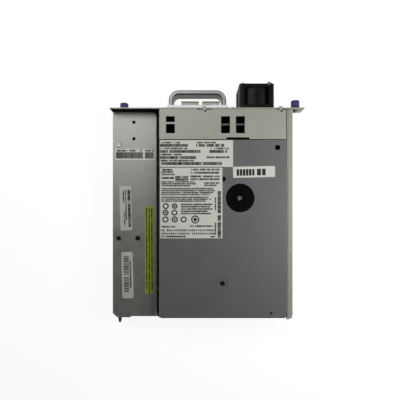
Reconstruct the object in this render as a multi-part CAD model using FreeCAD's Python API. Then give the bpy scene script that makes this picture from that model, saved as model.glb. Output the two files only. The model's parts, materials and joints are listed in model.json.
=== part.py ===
import FreeCAD, Part
import math
import os

# Half-height tape drive carried in a sheet-metal library sled, lying flat.
# Millimetres. +X right, +Y towards the rear panel, +Z up.
# The origin lies under the middle of the bounding box, on the surface that the sled rests on.

# Sled sheet metal
panel_width = 223.0
panel_height = 43.0
panel_sheet = 1.2
sheet = 1.0
bend = 0.8
left_reveal = 0.8
ear_reach = 13.0
ear_height = 18.0
sled_depth = 241.0
rail_width = 7.2
rail_drop = 1.0
rail_lip = 4.0
rail_crease = 0.5
rail_creases = 2
tab_run = 10.0
tab_height = 11.0
tab_screw_height = 5.0
vent_start = 30.0
vent_length = 16.0
vent_width = 3.0
vent_count = 8
vent_pitch = 7.0

# Left compartment
compartment_drop = 12.5
seam_gap = 3.2
cover_gap = 0.4
cover_chamfer = 3.6
front_tab = 16.5
front_tab_reach = 1.4
tab_inset = 4.5
cover_hole = 3.9
cover_hole_share = 0.473
cover_hole_places = (12.5, 32.0)
cover_screw_inset = 7.0
cover_screw_place = 39.0
pair_screw_place = 149.0
pair_screw_share = 0.43
post_size = 6.0
cover_screw_reach = 6.0

# Rear bay cover
window_width = 10.2
window_near = 8.5
window_far = 28.0
window_shares = (0.0904, 0.5219, 0.6384)
bar_place = 16.3
bar_width = 2.2
bar_drop = 7.0
plain_bars = 1
slit_width = 26.5
slit_share = 0.6185
slit_depth = 2.0
edge_notch_depth = 1.0
edge_notch_drop = 2.9
edge_notches = ((0.3582, 17.6), (0.9548, 11.0))
hook_width = 3.6
hook_root = 2.6
hook_over = 1.6

# Handle and the raised pad behind it
handle_width = 67.8
handle_reach = 24.2
handle_strap = 5.3
handle_band = 19.0
handle_corner = 12.0
handle_share = 0.3014
handle_edge = 1.7
pad_margin = 2.2
pad_proud = 3.8
pad_slope = 2.0
pad_foot = 9.0
pad_drop = 0.8
handle_screw_reach = 8.0
panel_screw_reach = 5.0
panel_screw_shares = (0.582, 0.9548)

# Cable connectors in the pad
socket_width = 20.8
socket_height = 12.0
socket_wall = 0.6
socket_proud = 6.4
socket_level = 27.0
socket_length = 17.0
socket_pitch = 24.4
socket_offset = 3.6
socket_tongue = 1.6

# Axial fan
fan_side = 40.0
fan_depth = 28.0
fan_from_right = 33.7
fan_flange = 4.0
fan_corner = 3.0
fan_post = 6.4
fan_wall = 1.1
fan_bore = 37.0
fan_hole_pitch = 32.0
fan_hub = 20.0
fan_hub_wall = 1.2
fan_blades = 7
fan_blade_thick = 1.1
fan_root_pitch = 52.0
fan_tip_pitch = 32.0
fan_tip_gap = 0.6
fan_strut = 2.4
fan_shaft = 2.0
fan_bearing = 5.0
fan_core = 14.0
fan_base = 3.0
fan_struts = 4
fan_strut_turn = 45.0
fan_tube_start = 6.5
fan_blade_start = 4.0
fan_blade_end = 22.0
fan_cup_start = 2.5
fan_bearing_length = 3.0
nut_height = 2.4
nut_size = 6.2
nut_sides = 6

# Captive thumbscrews
left_screw_inset = 12.9
left_screw_height = 24.0
right_screw_inset = 8.4
knob_size = 9.7
knob_length = 7.6
knob_gap = 2.5
knob_grooves = 12
knob_cap = 1.5
knob_groove = 0.9
knob_groove_out = 0.22
knob_chamfer = 0.5
ferrule_size = 6.4
ferrule_length = 2.0
shank_size = 3.9
shank_neck = 3.0
shank_reach = 2.6
ring_size = 5.4
ring_thick = 0.7

# Docking end of the compartment
pin_size = 4.0
pin_reach = 11.0
pin_inset = 5.8
pin_height = 19.0
pin_taper = 2.5
dock_gap = 6.5
dock_setback = 1.0
dock_lip = 1.6
dock_wall = 1.2
dock_margin = 4.5
dock_height = 12.0
dock_depth = 14.0
dock_cavity = 6.0
bracket_setback = 4.0
bracket_foot = 9.0

# Boards
board = 1.6
spacer_height = 5.0
spacer_size = 5.0
control_margin = 4.9
control_length = 170.0
control_inset = 16.0
interface_depth = 22.0
interface_margin = 1.6
main_rear_gap = 4.5
main_width = 120.0
main_inset = 20.0
main_drop = 1.0
chip_count = 5
chip_shift = 0.35
chip_columns = (0.3, 0.7)
chip_size = 12.0
chip_height = 2.2
can_height = 11.0
can_size = 8.0
plug_width = 44.0
plug_height = 4.2
plug_offset = -20.0
plug_depth = 12.0

# Tape drive
drive_width = 146.0
drive_length = 203.0
drive_height = 41.4
side_gap = 6.5
drive_setback = 2.5
drive_sheet = 1.0
cover_play = 0.2
cover_skirt = 16.0
cast_wall = 2.5
deck_level = 9.0
deck = 3.0
frame_depth = 12.0
bottom_hole_inset = 3.15
bottom_hole_front = 47.4
bottom_hole_pitch = 79.2
boss_size = 7.0
side_screw_steps = (30.0, 100.0, 175.0)
rear_seam = 0.8
rear_flange = 9.0
hub_opening = 32.8
hub_from_front = 136.5
hub_share = 0.363
top_hole = 6.2
dimple = 12.0
dimple_depth = 0.8
dimple_corner = 3.6
dimple_from_front = 38.9
mark_inset = 17.6
mark_from_front = 4.8
hole_inset_right = 10.2
hole_inset_rear = 8.8
label_hole_left = 19.6
label_hole_rear = 21.5

# Cartridge and loader
cartridge_side = 20.3
cartridge_length = 102.0
tray_sheet = 1.2
tray_play = 0.6
tray_rest = 3.2
tray_travel = 2.8
tray_wall = 16.0
slide_sheet = 1.2
slide_play = 0.5
slide_travel = 14.0
cam_pin = 3.0
cam_play = 0.35
flap_thick = 1.4
flap_side = 1.5
flap_pin = 1.6
flap_wall = 0.7
flap_setback = 8.5
flap_pin_reach = 4.0
slot_flare = 2.0
leaf_bow = 1.6
leaf_thick = 0.4
tray_inset = 4.0
stop_width = 60.0
cam_inset = 6.0
bridge_drop = 1.0
bridge_length = 14.0
slot_play = 0.8
gear_module = 0.6
gear_teeth = 18
gear_start = 180.0
pinion_teeth = 12
addendum = 0.8
dedendum = 1.1
pressure_angle = 20.0
rack_back = 0.6
rack_spare_teeth = 3
gear_behind = 19.0
gear_face = 3.0
gear_backlash = 0.34
gear_level = 29.5
gear_pin = 2.0
loader_motor_size = 10.0
motor_gap = 0.6
pinion_stub = 4.0

# Reels, rollers, head and threading arm
reel_share = 0.4384
reel_hub = 44.0
reel_flange = 1.4
tape_width = 12.65
tape_room = 0.8
tape_level = 18.6
hub_wall = 4.0
hub_cap = 31.8
cap_edge = 2.2
cap_stem = 20.0
cap_rim = 2.0
cap_well = 2.2
reel_shaft = 5.0
motor_size = 40.0
motor_air = 0.8
motor_coils = 9
motor_core = 20.0
supply_motor_height = 2.0
clutch_size = 32.0
clutch_teeth = 20
clutch_tooth = 1.2
clutch_plate = 0.6
clutch_band = 4.0
clutch_room = 4.0
roller_size = 13.0
roller_flange = 1.0
roller_post = 3.0
roller_inset = 5.0
roller_forward = 22.6
roller_back = 7.4
roller_gap = 4.0
roller_angles = (138.0, 104.0)
fit = 0.05
clear = 0.4
head_width = 12.0
head_depth = 7.0
head_post = 2.5
head_travel = 2.5
head_block = 8.0
head_plate = 2.0
head_ridge = 1.5
ridge_pitch = 6.0
arm_length = 34.0
arm_width = 6.0
arm_thick = 1.6
arm_shaft = 3.0
arm_motor = 14.0
arm_from_roller = 20.4
arm_forward = 6.6
arm_lift = 3.2
arm_hook = 1.2
arm_hook_tip = 3.0
arm_rest = 222.0

# Screws
screw_size = 3.0
screw_head = 5.6
screw_head_height = 1.6
screw_head_rim = 0.8
screw_crown = 4.0
recess = 2.2
recess_depth = 0.9
recess_arm = 0.56
flat_head = 5.2
mount_screw_reach = 5.0

# Planes that the pieces share
sled_left = -panel_width / 2 + left_reveal
sled_right = panel_width / 2 - ear_reach
y_panel = (sled_depth + pin_reach - panel_sheet - fan_depth - screw_head_height) / 2
y_rear = y_panel + panel_sheet
y_front = y_panel - sled_depth
drive_right = sled_right - sheet - side_gap
drive_left = drive_right - drive_width
drive_mid = (drive_left + drive_right) / 2
handle_offset = drive_left + handle_share * drive_width
fan_centre = drive_right - fan_from_right
cartridge_width = drive_width - 2 * cartridge_side
main_length = drive_length - main_inset - cast_wall - main_rear_gap
drive_front = y_front + drive_setback
drive_rear = drive_front + drive_length
drive_bottom = sheet
drive_top = drive_bottom + drive_height
compartment_right = drive_left - seam_gap
compartment_width = compartment_right - sled_left
compartment_top = panel_height - compartment_drop
control_width = compartment_width - 2 * control_margin
cast_bottom = drive_bottom + drive_sheet
cast_top = drive_top - drive_sheet
cast_left = drive_left + drive_sheet + cover_play
cast_right = drive_right - drive_sheet - cover_play
deck_top = deck_level + deck
hub_x = drive_right - hub_share * drive_width
reel_size = reel_share * drive_width
hub_y = drive_front + hub_from_front
ear_middle = panel_height - ear_height / 2
fan_height = panel_height / 2
handle_height = panel_height / 2


# Basic shapes

def vec(x, y, z=0.0):
    return FreeCAD.Vector(x, y, z)


def box(x0, x1, y0, y1, z0, z1):
    return Part.makeBox(x1 - x0, y1 - y0, z1 - z0, vec(x0, y0, z0))


def rod_z(x, y, z0, z1, size):
    return Part.makeCylinder(size / 2, z1 - z0, vec(x, y, z0))


def rod_y(x, z, y0, y1, size):
    return Part.makeCylinder(size / 2, y1 - y0, vec(x, y0, z), vec(0, 1, 0))


def rod_x(y, z, x0, x1, size):
    return Part.makeCylinder(size / 2, x1 - x0, vec(x0, y, z), vec(1, 0, 0))


def fuse(first, *others):
    shape = first
    for other in others:
        shape = shape.fuse(other)
    return shape.removeSplitter()


def cut(shape, *tools):
    for tool in tools:
        shape = shape.cut(tool)
    return shape.removeSplitter()


def prism(points, push):
    wire = Part.makePolygon(points + points[:1])
    return Part.Face(wire).extrude(push)


def turn_z(profile, x, y):
    # Turned piece about an upright axis, from (radius, height) points.
    points = [vec(x + radius, y, z) for radius, z in profile]
    face = Part.Face(Part.makePolygon(points + points[:1]))
    return face.revolve(vec(x, y, 0), vec(0, 0, 1), 360)


def turn_y(profile, x, z):
    # Turned piece about a lengthwise axis, from (radius, y) points.
    points = [vec(x + radius, y, z) for radius, y in profile]
    face = Part.Face(Part.makePolygon(points + points[:1]))
    return face.revolve(vec(x, 0, z), vec(0, 1, 0), 360)


def rounded_edges(points, radii):
    # Straight runs joined by tangent arcs, one radius for each inner point.
    edges = []
    start = points[0]
    for here, following, before, radius in zip(points[1:-1], points[2:], points[:-2], radii):
        into = (here - before).normalize()
        away = (following - here).normalize()
        turn = into.getAngle(away)
        trim = radius * math.tan(turn / 2)
        first = here - into * trim
        last = here + away * trim
        inward = (away - into).normalize()
        middle = here + inward * (radius / math.cos(turn / 2) - radius)
        edges.append(Part.LineSegment(start, first).toShape())
        edges.append(Part.Arc(first, middle, last).toShape())
        start = last
    edges.append(Part.LineSegment(start, points[-1]).toShape())
    return edges


def bent_strip(points, thickness, inner_bend, normal, push):
    # Sheet of one thickness that follows the points with rounded bends, extruded by push.
    runs = [(b - a).normalize() for a, b in zip(points[:-1], points[1:])]
    sides = [normal.cross(run) for run in runs]
    other = [points[0] + sides[0] * thickness]
    near_radii = []
    far_radii = []
    for index in range(len(runs) - 1):
        turn = runs[index].getAngle(runs[index + 1])
        mitre = (sides[index] + sides[index + 1]).normalize() * (thickness / math.cos(turn / 2))
        other.append(points[index + 1] + mitre)
        to_far_side = runs[index + 1].dot(sides[index]) > 0
        near_radii.append(inner_bend + thickness if to_far_side else inner_bend)
        far_radii.append(inner_bend if to_far_side else inner_bend + thickness)
    other.append(points[-1] + sides[-1] * thickness)
    edges = rounded_edges(points, near_radii)
    edges.append(Part.LineSegment(points[-1], other[-1]).toShape())
    edges += rounded_edges(other[::-1], far_radii[::-1])
    edges.append(Part.LineSegment(other[0], points[0]).toShape())
    return Part.Face(Part.Wire(edges)).extrude(push)


def round_plate(x0, x1, y0, y1, z0, z1, radius):
    plate = box(x0, x1, y0, y1, z0, z1)
    uprights = [edge for edge in plate.Edges if edge.BoundBox.ZLength > (z1 - z0) / 2]
    return plate.makeFillet(radius, uprights)


def slot_z(x0, x1, y, z0, z1, width):
    # Slot tool with round ends, along X.
    ends = [rod_z(x, y, z0, z1, width) for x in (x0 + width / 2, x1 - width / 2)]
    return fuse(box(x0 + width / 2, x1 - width / 2, y - width / 2, y + width / 2, z0, z1), *ends)


def screw_z(x, y, seat, reach):
    # Pan-head screw driven downwards, its head resting on the seat height.
    top = seat + screw_head_height
    head = turn_z([(0, seat - reach), (screw_size / 2, seat - reach), (screw_size / 2, seat),
                   (screw_head / 2, seat), (screw_head / 2, seat + screw_head_rim),
                   (screw_crown / 2, top), (0, top)], x, y)
    low = top - recess_depth
    arms = [box(x - across / 2, x + across / 2, y - along / 2, y + along / 2, low, top)
            for across, along in ((recess, recess_arm), (recess_arm, recess))]
    return cut(head, *arms)


def screw_y(x, z, seat, reach):
    # The same screw driven forwards into the rear panel, its head resting on the seat plane.
    screw = screw_z(0, 0, 0, reach)
    screw.rotate(vec(0, 0, 0), vec(1, 0, 0), -90)
    screw.translate(vec(x, seat, z))
    return screw


def stepped_post(x, y, size, low, top):
    # Deck post with a wide foot that carries a turning piece between two heights.
    seat = low - 2 * fit
    rim = size / 2
    return turn_z([(0, deck_top), (size, deck_top), (size, seat), (rim, seat), (rim, top + clear),
                   (0, top + clear)], x, y)


def save(name, *solids):
    shape = solids[0] if len(solids) == 1 else Part.makeCompound(list(solids))
    shape.exportStep("parts/" + name + ".step")
    print(name, len(shape.Solids), round(shape.Volume, 1), shape.isValid())


# Sled sheet metal

def drive_screw_places():
    # Standard bottom hole pattern of a 5.25-inch device.
    return [(x, drive_front + bottom_hole_front + step)
            for x in (drive_left + bottom_hole_inset, drive_right - bottom_hole_inset)
            for step in (0, bottom_hole_pitch)]


def cover_post_places():
    left = sled_left + cover_screw_inset
    return [(left, y_panel - cover_screw_place), (left, y_panel - pair_screw_place),
            (left + pair_screw_share * compartment_width, y_panel - pair_screw_place)]


def corner_cut(z0, z1):
    # Tool for the slanted front left corner of the tray and of the compartment cover.
    return prism([vec(sled_left, y_front, z0), vec(sled_left + cover_chamfer, y_front, z0),
                  vec(sled_left, y_front + cover_chamfer, z0)], vec(0, 0, z1 - z0))


def rear_tab(x0, x1, height):
    # Tongue of the tray floor turned up against the rear panel.
    path = [vec(x0, y_panel - tab_run, 0), vec(x0, y_panel, 0), vec(x0, y_panel, height)]
    return bent_strip(path, sheet, bend, vec(1, 0, 0), vec(x1 - x0, 0, 0))


def base_tray():
    rail_top = panel_height - rail_drop
    wall_top = compartment_top - sheet
    path = [vec(sled_left, y_front, wall_top), vec(sled_left, y_front, 0), vec(sled_right, y_front, 0),
            vec(sled_right, y_front, rail_top), vec(sled_right - rail_width, y_front, rail_top),
            vec(sled_right - rail_width, y_front, rail_top - rail_lip)]
    tray = bent_strip(path, sheet, bend, vec(0, -1, 0), vec(0, sled_depth, 0))
    tabs = [rear_tab(sled_left + tab_inset, compartment_right, tab_height),
            rear_tab(drive_left + tab_inset, drive_mid - tab_inset, tab_height)]
    tray = fuse(tray, *tabs)
    tools = [corner_cut(0, panel_height)]
    rail_left = sled_right - rail_width
    rail_end = y_front + rail_width
    end = box(rail_left, sled_right, y_front, rail_end, rail_top - rail_lip, rail_top)
    tools.append(end.cut(rod_z(rail_left, rail_end, 0, panel_height, 2 * rail_width)))
    for index in range(rail_creases):
        x = sled_right - rail_width * (index + 1) / (rail_creases + 1)
        groove = [vec(x - rail_crease, y_front, rail_top), vec(x + rail_crease, y_front, rail_top),
                  vec(x, y_front, rail_top - rail_crease)]
        tools.append(prism(groove, vec(0, sled_depth, 0)))
    for index in range(vent_count):
        y = y_panel - vent_start - index * vent_pitch
        middle = (sled_left + compartment_right) / 2
        tools.append(slot_z(middle - vent_length / 2, middle + vent_length / 2, y, 0, sheet, vent_width))
    for x, y in drive_screw_places():
        tools.append(Part.makeCone(flat_head / 2, screw_size / 2, sheet, vec(x, y, 0)))
    for x, z in panel_screw_places()[2:]:
        tools.append(rod_y(x, z, y_panel - tab_run, y_panel, screw_size))
    return cut(tray, *tools)


def side_cover():
    rear = y_panel - cover_gap
    path = [vec(sled_left, y_front, compartment_top), vec(compartment_right, y_front, compartment_top),
            vec(compartment_right, y_front, sheet)]
    cover = bent_strip(path, sheet, bend, vec(0, 1, 0), vec(0, rear - y_front, 0))
    tab_left = sled_left + tab_inset
    tab = box(tab_left, tab_left + front_tab, y_front - front_tab_reach, y_front,
              compartment_top - sheet, compartment_top)
    cover = fuse(cover, tab)
    tools = [corner_cut(0, panel_height)]
    tools.append(prism([vec(compartment_right, rear, 0), vec(compartment_right - cover_chamfer, rear, 0),
                        vec(compartment_right, rear - cover_chamfer, 0)], vec(0, 0, panel_height)))
    for place in cover_hole_places:
        x = sled_left + cover_hole_share * compartment_width
        tools.append(rod_z(x, y_panel - place, sheet, panel_height, cover_hole))
    for x, y in cover_post_places():
        tools.append(rod_z(x, y, sheet, panel_height, screw_size))
    return cut(cover, *tools)


def pressed_bar(x):
    # Bar across a window, pressed down out of the sheet.
    left = x - window_width / 2 - sheet
    right = x + window_width / 2 + sheet
    y = y_panel - bar_place - bar_width / 2
    root = drive_top - sheet / 2
    low = drive_top - sheet - bar_drop
    path = [vec(left, y, root), vec(left, y, low), vec(right, y, low), vec(right, y, root)]
    return bent_strip(path, sheet, bend, vec(0, -1, 0), vec(0, bar_width, 0))


def edge_hook(x, play):
    # Tongue of the rear cover that lies over the top edge of the rear panel.
    half = hook_width / 2 + play
    return box(x - half, x + half, y_panel - hook_root, y_rear + hook_over, drive_top - play, panel_height)


def rear_cover():
    front = drive_rear + rear_seam
    path = [vec(drive_left, front, sheet), vec(drive_left, front, drive_top),
            vec(drive_right, front, drive_top), vec(drive_right, front, sheet)]
    cover = bent_strip(path, sheet, bend, vec(0, 1, 0), vec(0, y_panel - front, 0))
    flange = [vec(drive_left + sheet, front + rear_flange, drive_top),
              vec(drive_left + sheet, y_panel, drive_top),
              vec(drive_left + sheet, y_panel, drive_top - rear_flange)]
    width = vec(drive_width - 2 * sheet, 0, 0)
    cover = fuse(cover, bent_strip(flange, sheet, bend, vec(-1, 0, 0), width))
    tools = [box(fan_centre - fan_side / 2, fan_centre + fan_side / 2, y_panel - rear_flange, y_panel,
                 0, drive_top - sheet)]
    added = []
    for index, share in enumerate(window_shares):
        x = drive_left + share * drive_width
        rows = ((window_near, bar_place - bar_width / 2), (bar_place + bar_width / 2, window_far))
        if index >= plain_bars:
            rows = ((window_near, window_far),)
            added.append(pressed_bar(x))
        for near, far in rows:
            tools.append(box(x - window_width / 2, x + window_width / 2, y_panel - far, y_panel - near,
                             drive_top - sheet, drive_top))
    x = drive_left + slit_share * drive_width
    tools.append(box(x - slit_width / 2, x + slit_width / 2, front, front + slit_depth,
                     drive_top - sheet, drive_top))
    for share, length in edge_notches:
        x = drive_left + share * drive_width
        tools.append(box(x - length / 2, x + length / 2, y_panel - edge_notch_depth, y_panel,
                         drive_top - edge_notch_drop, drive_top))
        added.append(edge_hook(x, 0.0))
    for x, z in panel_screw_places()[:2]:
        tools.append(rod_y(x, z, y_panel - rear_flange, y_panel, screw_size))
    return fuse(cut(cover, *tools), *added)


# Rear panel and what it carries

def panel_screw_places():
    height = drive_top - rear_flange / 2
    upper = [(drive_left + share * drive_width, height) for share in panel_screw_shares]
    lower = [((sled_left + compartment_right) / 2, tab_screw_height),
             ((drive_left + drive_mid) / 2, tab_screw_height)]
    return upper + lower


def thumb_places():
    return {"left": (-panel_width / 2 + left_screw_inset, left_screw_height),
            "right": (panel_width / 2 - right_screw_inset, ear_middle)}


def socket_places():
    middle = handle_offset + socket_offset
    return [middle - socket_pitch / 2, middle + socket_pitch / 2]


def pad_block():
    # Tapered block under the handle and round the connectors, wider at the panel.
    wires = []
    for y, slope in ((y_rear, 0.0), (y_rear + pad_proud, pad_slope)):
        half = handle_width / 2 + pad_margin - slope
        low = pad_foot + slope
        top = panel_height - pad_drop - slope
        left = handle_offset - half
        right = handle_offset + half
        corners = [vec(left, y, low), vec(right, y, low), vec(right, y, top), vec(left, y, top)]
        wires.append(Part.makePolygon(corners + corners[:1]))
    return Part.makeLoft(wires, True, True)


def rear_panel():
    half = panel_width / 2
    plate = box(-half, half, y_panel, y_rear, 0, panel_height)
    tools = [box(sled_right, half, y_panel, y_rear, 0, panel_height - ear_height)]
    tools.append(rod_y(fan_centre, fan_height, y_panel, y_rear, fan_bore))
    for x, z in fan_screw_places():
        tools.append(rod_y(x, z, y_panel, y_rear, screw_size + fit))
    tools += socket_cutouts()
    for x, z in thumb_places().values():
        tools.append(rod_y(x, z, y_panel, y_rear, ferrule_size))
    for share, length in edge_notches:
        tools.append(edge_hook(drive_left + share * drive_width, fit))
    for x, z in panel_screw_places() + handle_screw_places():
        tools.append(rod_y(x, z, y_panel, y_rear, screw_size + fit))
    return cut(plate, *tools)


def socket_cutouts():
    across = socket_width / 2 + clear
    rise = socket_height / 2 + clear
    low = socket_level - rise
    return [box(x - across, x + across, y_panel, y_rear + pad_proud, low, low + 2 * rise)
            for x in socket_places()]


def handle_base():
    holes = [rod_y(x, z, y_rear, y_rear + pad_proud, screw_size + fit) for x, z in handle_screw_places()]
    return cut(pad_block(), *socket_cutouts(), *holes)


def pull_handle():
    pad_face = y_rear + pad_proud
    low = handle_height - handle_band / 2
    left = handle_offset - handle_width / 2
    right = handle_offset + handle_width / 2
    path = [vec(left, pad_face, low), vec(left, y_rear + handle_reach, low),
            vec(right, y_rear + handle_reach, low), vec(right, pad_face, low)]
    bow = bent_strip(path, handle_strap, handle_corner - handle_strap, vec(0, 0, -1), vec(0, 0, handle_band))
    flat = [edge for edge in bow.Edges if edge.BoundBox.ZLength < handle_edge]
    rims = [edge for edge in flat if edge.BoundBox.YMax > pad_face + clear]
    bow = bow.makeFillet(handle_edge, rims)
    end = pad_face + handle_screw_reach
    return cut(bow, *[rod_y(x, z, pad_face, end, screw_size) for x, z in handle_screw_places()])


def handle_screw_places():
    return [(handle_offset + side * (handle_width - handle_strap) / 2, handle_height) for side in (-1, 1)]


def handle_screws():
    screws = []
    for x, z in handle_screw_places():
        screw = screw_z(0, 0, 0, panel_sheet + pad_proud + handle_screw_reach)
        screw.rotate(vec(0, 0, 0), vec(1, 0, 0), 90)
        screw.translate(vec(x, y_panel, z))
        screws.append(screw)
    return screws


def panel_screws():
    return [screw_y(x, z, y_rear, panel_sheet + panel_screw_reach) for x, z in panel_screw_places()]


def socket_shell(x):
    rear = y_rear + pad_proud + socket_proud
    front = rear - socket_length - pad_proud - socket_proud
    across = socket_width / 2
    rise = socket_height / 2
    shell = box(x - across, x + across, front, rear, socket_level - rise, socket_level + rise)
    cavity = box(x - across + socket_wall, x + across - socket_wall, front + socket_wall, rear,
                 socket_level - rise + socket_wall, socket_level + rise - socket_wall)
    return cut(shell, cavity)


def socket_insert(x):
    rear = y_rear + pad_proud + socket_proud - socket_wall
    front = rear + 2 * socket_wall - socket_length - pad_proud - socket_proud
    across = socket_width / 2 - socket_wall
    rise = socket_height / 2 - socket_wall
    back = box(x - across, x + across, front, y_panel - socket_wall,
               socket_level - rise, socket_level + rise)
    tongue = box(x - across + socket_tongue, x + across - socket_tongue, front, rear - socket_tongue,
                 socket_level - socket_tongue / 2, socket_level + socket_tongue / 2)
    return fuse(back, tongue)


# Axial fan, modelled about an upright axis and then seated on the rear panel

def fan_screw_places():
    half = fan_hole_pitch / 2
    return [(fan_centre + a * half, fan_height + b * half) for a in (-1, 1) for b in (-1, 1)]


def seat_fan(shape):
    shape.rotate(vec(0, 0, 0), vec(1, 0, 0), -90)
    shape.translate(vec(fan_centre, y_rear, fan_height))
    return shape


def fan_frame():
    half = fan_side / 2
    tube = fan_bearing + 2 * fan_hub_wall
    base = fan_depth - fan_base
    flanges = [round_plate(-half, half, -half, half, z, z + fan_flange, fan_corner)
               for z in (0, fan_depth - fan_flange)]
    block = round_plate(-half, half, -half, half, 0, fan_depth, fan_corner)
    inner = half - fan_post
    posts = [block.common(box(x, x + fan_post, y, y + fan_post, 0, fan_depth))
             for x in (-half, inner) for y in (-half, inner)]
    frame = fuse(rod_z(0, 0, 0, fan_depth, fan_bore + 2 * fan_wall), *flanges, *posts)
    frame = cut(frame, rod_z(0, 0, 0, fan_depth, fan_bore))
    struts = []
    for index in range(fan_struts):
        strut = box(0, (fan_bore + fan_wall) / 2, -fan_strut / 2, fan_strut / 2, base, fan_depth)
        strut.rotate(vec(0, 0, 0), vec(0, 0, 1), fan_strut_turn + index * 360 / fan_struts)
        struts.append(strut)
    frame = fuse(frame, rod_z(0, 0, base, fan_depth, fan_hub), *struts)
    frame = fuse(frame, rod_z(0, 0, fan_tube_start, base, tube))
    tools = [rod_z(0, 0, fan_tube_start, base, fan_bearing)]
    pitch = fan_hole_pitch / 2
    for a in (-1, 1):
        for b in (-1, 1):
            tools.append(rod_z(a * pitch, b * pitch, 0, fan_depth, screw_size + fit))
    return seat_fan(cut(frame, *tools))


def fan_blade(radius, pitch):
    # Slanted section of a blade at one radius, in the plane across that radius.
    rise = (fan_blade_end - fan_blade_start) / 2
    middle = (fan_blade_end + fan_blade_start) / 2
    lean = rise / math.tan(math.radians(pitch))
    side = fan_blade_thick / math.sin(math.radians(pitch)) / 2
    corners = [vec(radius, -lean - side, middle - rise), vec(radius, -lean + side, middle - rise),
               vec(radius, lean + side, middle + rise), vec(radius, lean - side, middle + rise)]
    return Part.makePolygon(corners + corners[:1])


def fan_rotor():
    hub = fan_hub / 2
    end = fan_depth - fan_base - clear
    inner = hub - fan_hub_wall
    floor = fan_cup_start + fan_hub_wall
    cup = turn_z([(0, fan_cup_start), (inner, fan_cup_start), (hub, floor), (hub, end), (inner, end),
                  (inner, floor), (0, floor)], 0, 0)
    tip = fan_bore / 2 - fan_tip_gap
    sections = [fan_blade(hub - fan_hub_wall / 2, fan_root_pitch), fan_blade(tip + fan_wall, fan_tip_pitch)]
    blade = Part.makeLoft(sections, True, True).common(rod_z(0, 0, 0, fan_depth, 2 * tip))
    blade = blade.cut(rod_z(0, 0, 0, fan_depth, fan_hub - fan_hub_wall))
    blades = []
    for index in range(fan_blades):
        copy = blade.copy()
        copy.rotate(vec(0, 0, 0), vec(0, 0, 1), index * 360 / fan_blades)
        blades.append(copy)
    shaft = rod_z(0, 0, fan_cup_start, end, fan_shaft)
    return seat_fan(fuse(cup, shaft, *blades))


def fan_bearings():
    ends = (fan_tube_start, fan_depth - fan_base - fan_bearing_length)
    rings = []
    for start in ends:
        end = start + fan_bearing_length
        bore = rod_z(0, 0, start, end, fan_shaft + 2 * fit)
        rings.append(seat_fan(cut(rod_z(0, 0, start, end, fan_bearing), bore)))
    return rings


def fan_stator():
    # Wound core on the bearing tube, with a slot between the poles.
    tube = fan_bearing + 2 * fan_hub_wall
    start = fan_tube_start + fan_bearing_length
    end = fan_depth - fan_base
    core = cut(rod_z(0, 0, start, end, fan_core), rod_z(0, 0, start, end, tube))
    slots = []
    for index in range(fan_struts):
        slot = box(tube / 2 + fan_hub_wall, fan_core, -fan_strut / 2, fan_strut / 2,
                   start, end - fan_hub_wall)
        slot.rotate(vec(0, 0, 0), vec(0, 0, 1), index * 360 / fan_struts)
        slots.append(slot)
    return seat_fan(cut(core, *slots))


def fan_screws():
    reach = fan_depth + panel_sheet + nut_height
    return [screw_y(x, z, y_rear + fan_depth, reach) for x, z in fan_screw_places()]


def hex_nut(x, z):
    corners = []
    for step in range(nut_sides):
        turn = math.radians(360 * step / nut_sides)
        corners.append(vec(x + nut_size / 2 * math.cos(turn), y_panel - nut_height,
                           z + nut_size / 2 * math.sin(turn)))
    nut = prism(corners, vec(0, nut_height, 0))
    return cut(nut, rod_y(x, z, y_panel - nut_height, y_panel, screw_size + fit))


# Captive thumbscrews: a bush pressed into the panel, a fluted knob, its screw and a retaining ring

def thumb_bush(x, z):
    bore = shank_size / 2 + fit
    rim = ferrule_size / 2
    end = y_rear + ferrule_length
    return turn_y([(bore, y_panel), (rim, y_panel), (rim, end), (bore, end)], x, z)


def thumb_knob(x, z):
    start = y_rear + knob_gap
    end = start + knob_length
    rim = knob_size / 2
    cavity = ferrule_size / 2 + clear
    floor = start + ferrule_length + clear
    socket = end - knob_cap
    shank = shank_size / 2
    knob = turn_y([(cavity, start), (rim, start), (rim, end - knob_chamfer), (rim - knob_chamfer, end),
                   (0, end), (0, socket), (shank, socket), (shank, floor), (cavity, floor)], x, z)
    flutes = []
    for index in range(knob_grooves):
        angle = math.radians(360 * index / knob_grooves)
        reach = rim + knob_groove_out
        across = reach * math.cos(angle)
        rise = reach * math.sin(angle)
        flutes.append(rod_y(x + across, z + rise, start, end, knob_groove))
    return cut(knob, *flutes)


def thumb_screw(x, z):
    tip = y_panel - shank_reach
    end = y_rear + knob_gap + knob_length - knob_cap
    ring_rear = y_panel - clear
    ring_front = ring_rear - ring_thick
    shank = shank_size / 2
    neck = shank_neck / 2
    return turn_y([(0, tip), (neck, tip), (shank, tip + shank - neck), (shank, ring_front - fit),
                   (neck, ring_front - fit), (neck, ring_rear + fit), (shank, ring_rear + fit),
                   (shank, end), (0, end)], x, z)


def thumb_ring(x, z):
    rear = y_panel - clear
    front = rear - ring_thick
    bore = shank_neck / 2 + fit
    rim = ring_size / 2
    return turn_y([(bore, front), (rim, front), (rim, rear), (bore, rear)], x, z)


# Docking end and boards of the left compartment

def pin_x():
    return sled_left + pin_inset


def dock_left():
    return pin_x() + dock_gap


def dock_width():
    return compartment_right - sheet - dock_margin - dock_left()


def dock_bracket():
    # Upright plate behind the front edge, with a foot on the tray floor.
    left = sled_left + sheet + bend
    width = compartment_right - 2 * sheet - 2 * bend - sled_left
    front = y_front + bracket_setback
    path = [vec(left, front + bracket_foot, sheet), vec(left, front, sheet),
            vec(left, front, compartment_top - sheet)]
    plate = bent_strip(path, sheet, bend, vec(-1, 0, 0), vec(width, 0, 0))
    window = box(dock_left(), dock_left() + dock_width(), front, front + sheet + bend,
                 pin_height - dock_height / 2, pin_height + dock_height / 2)
    return cut(plate, window, rod_y(pin_x(), pin_height, front, front + sheet, pin_size - 2 * clear))


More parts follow.
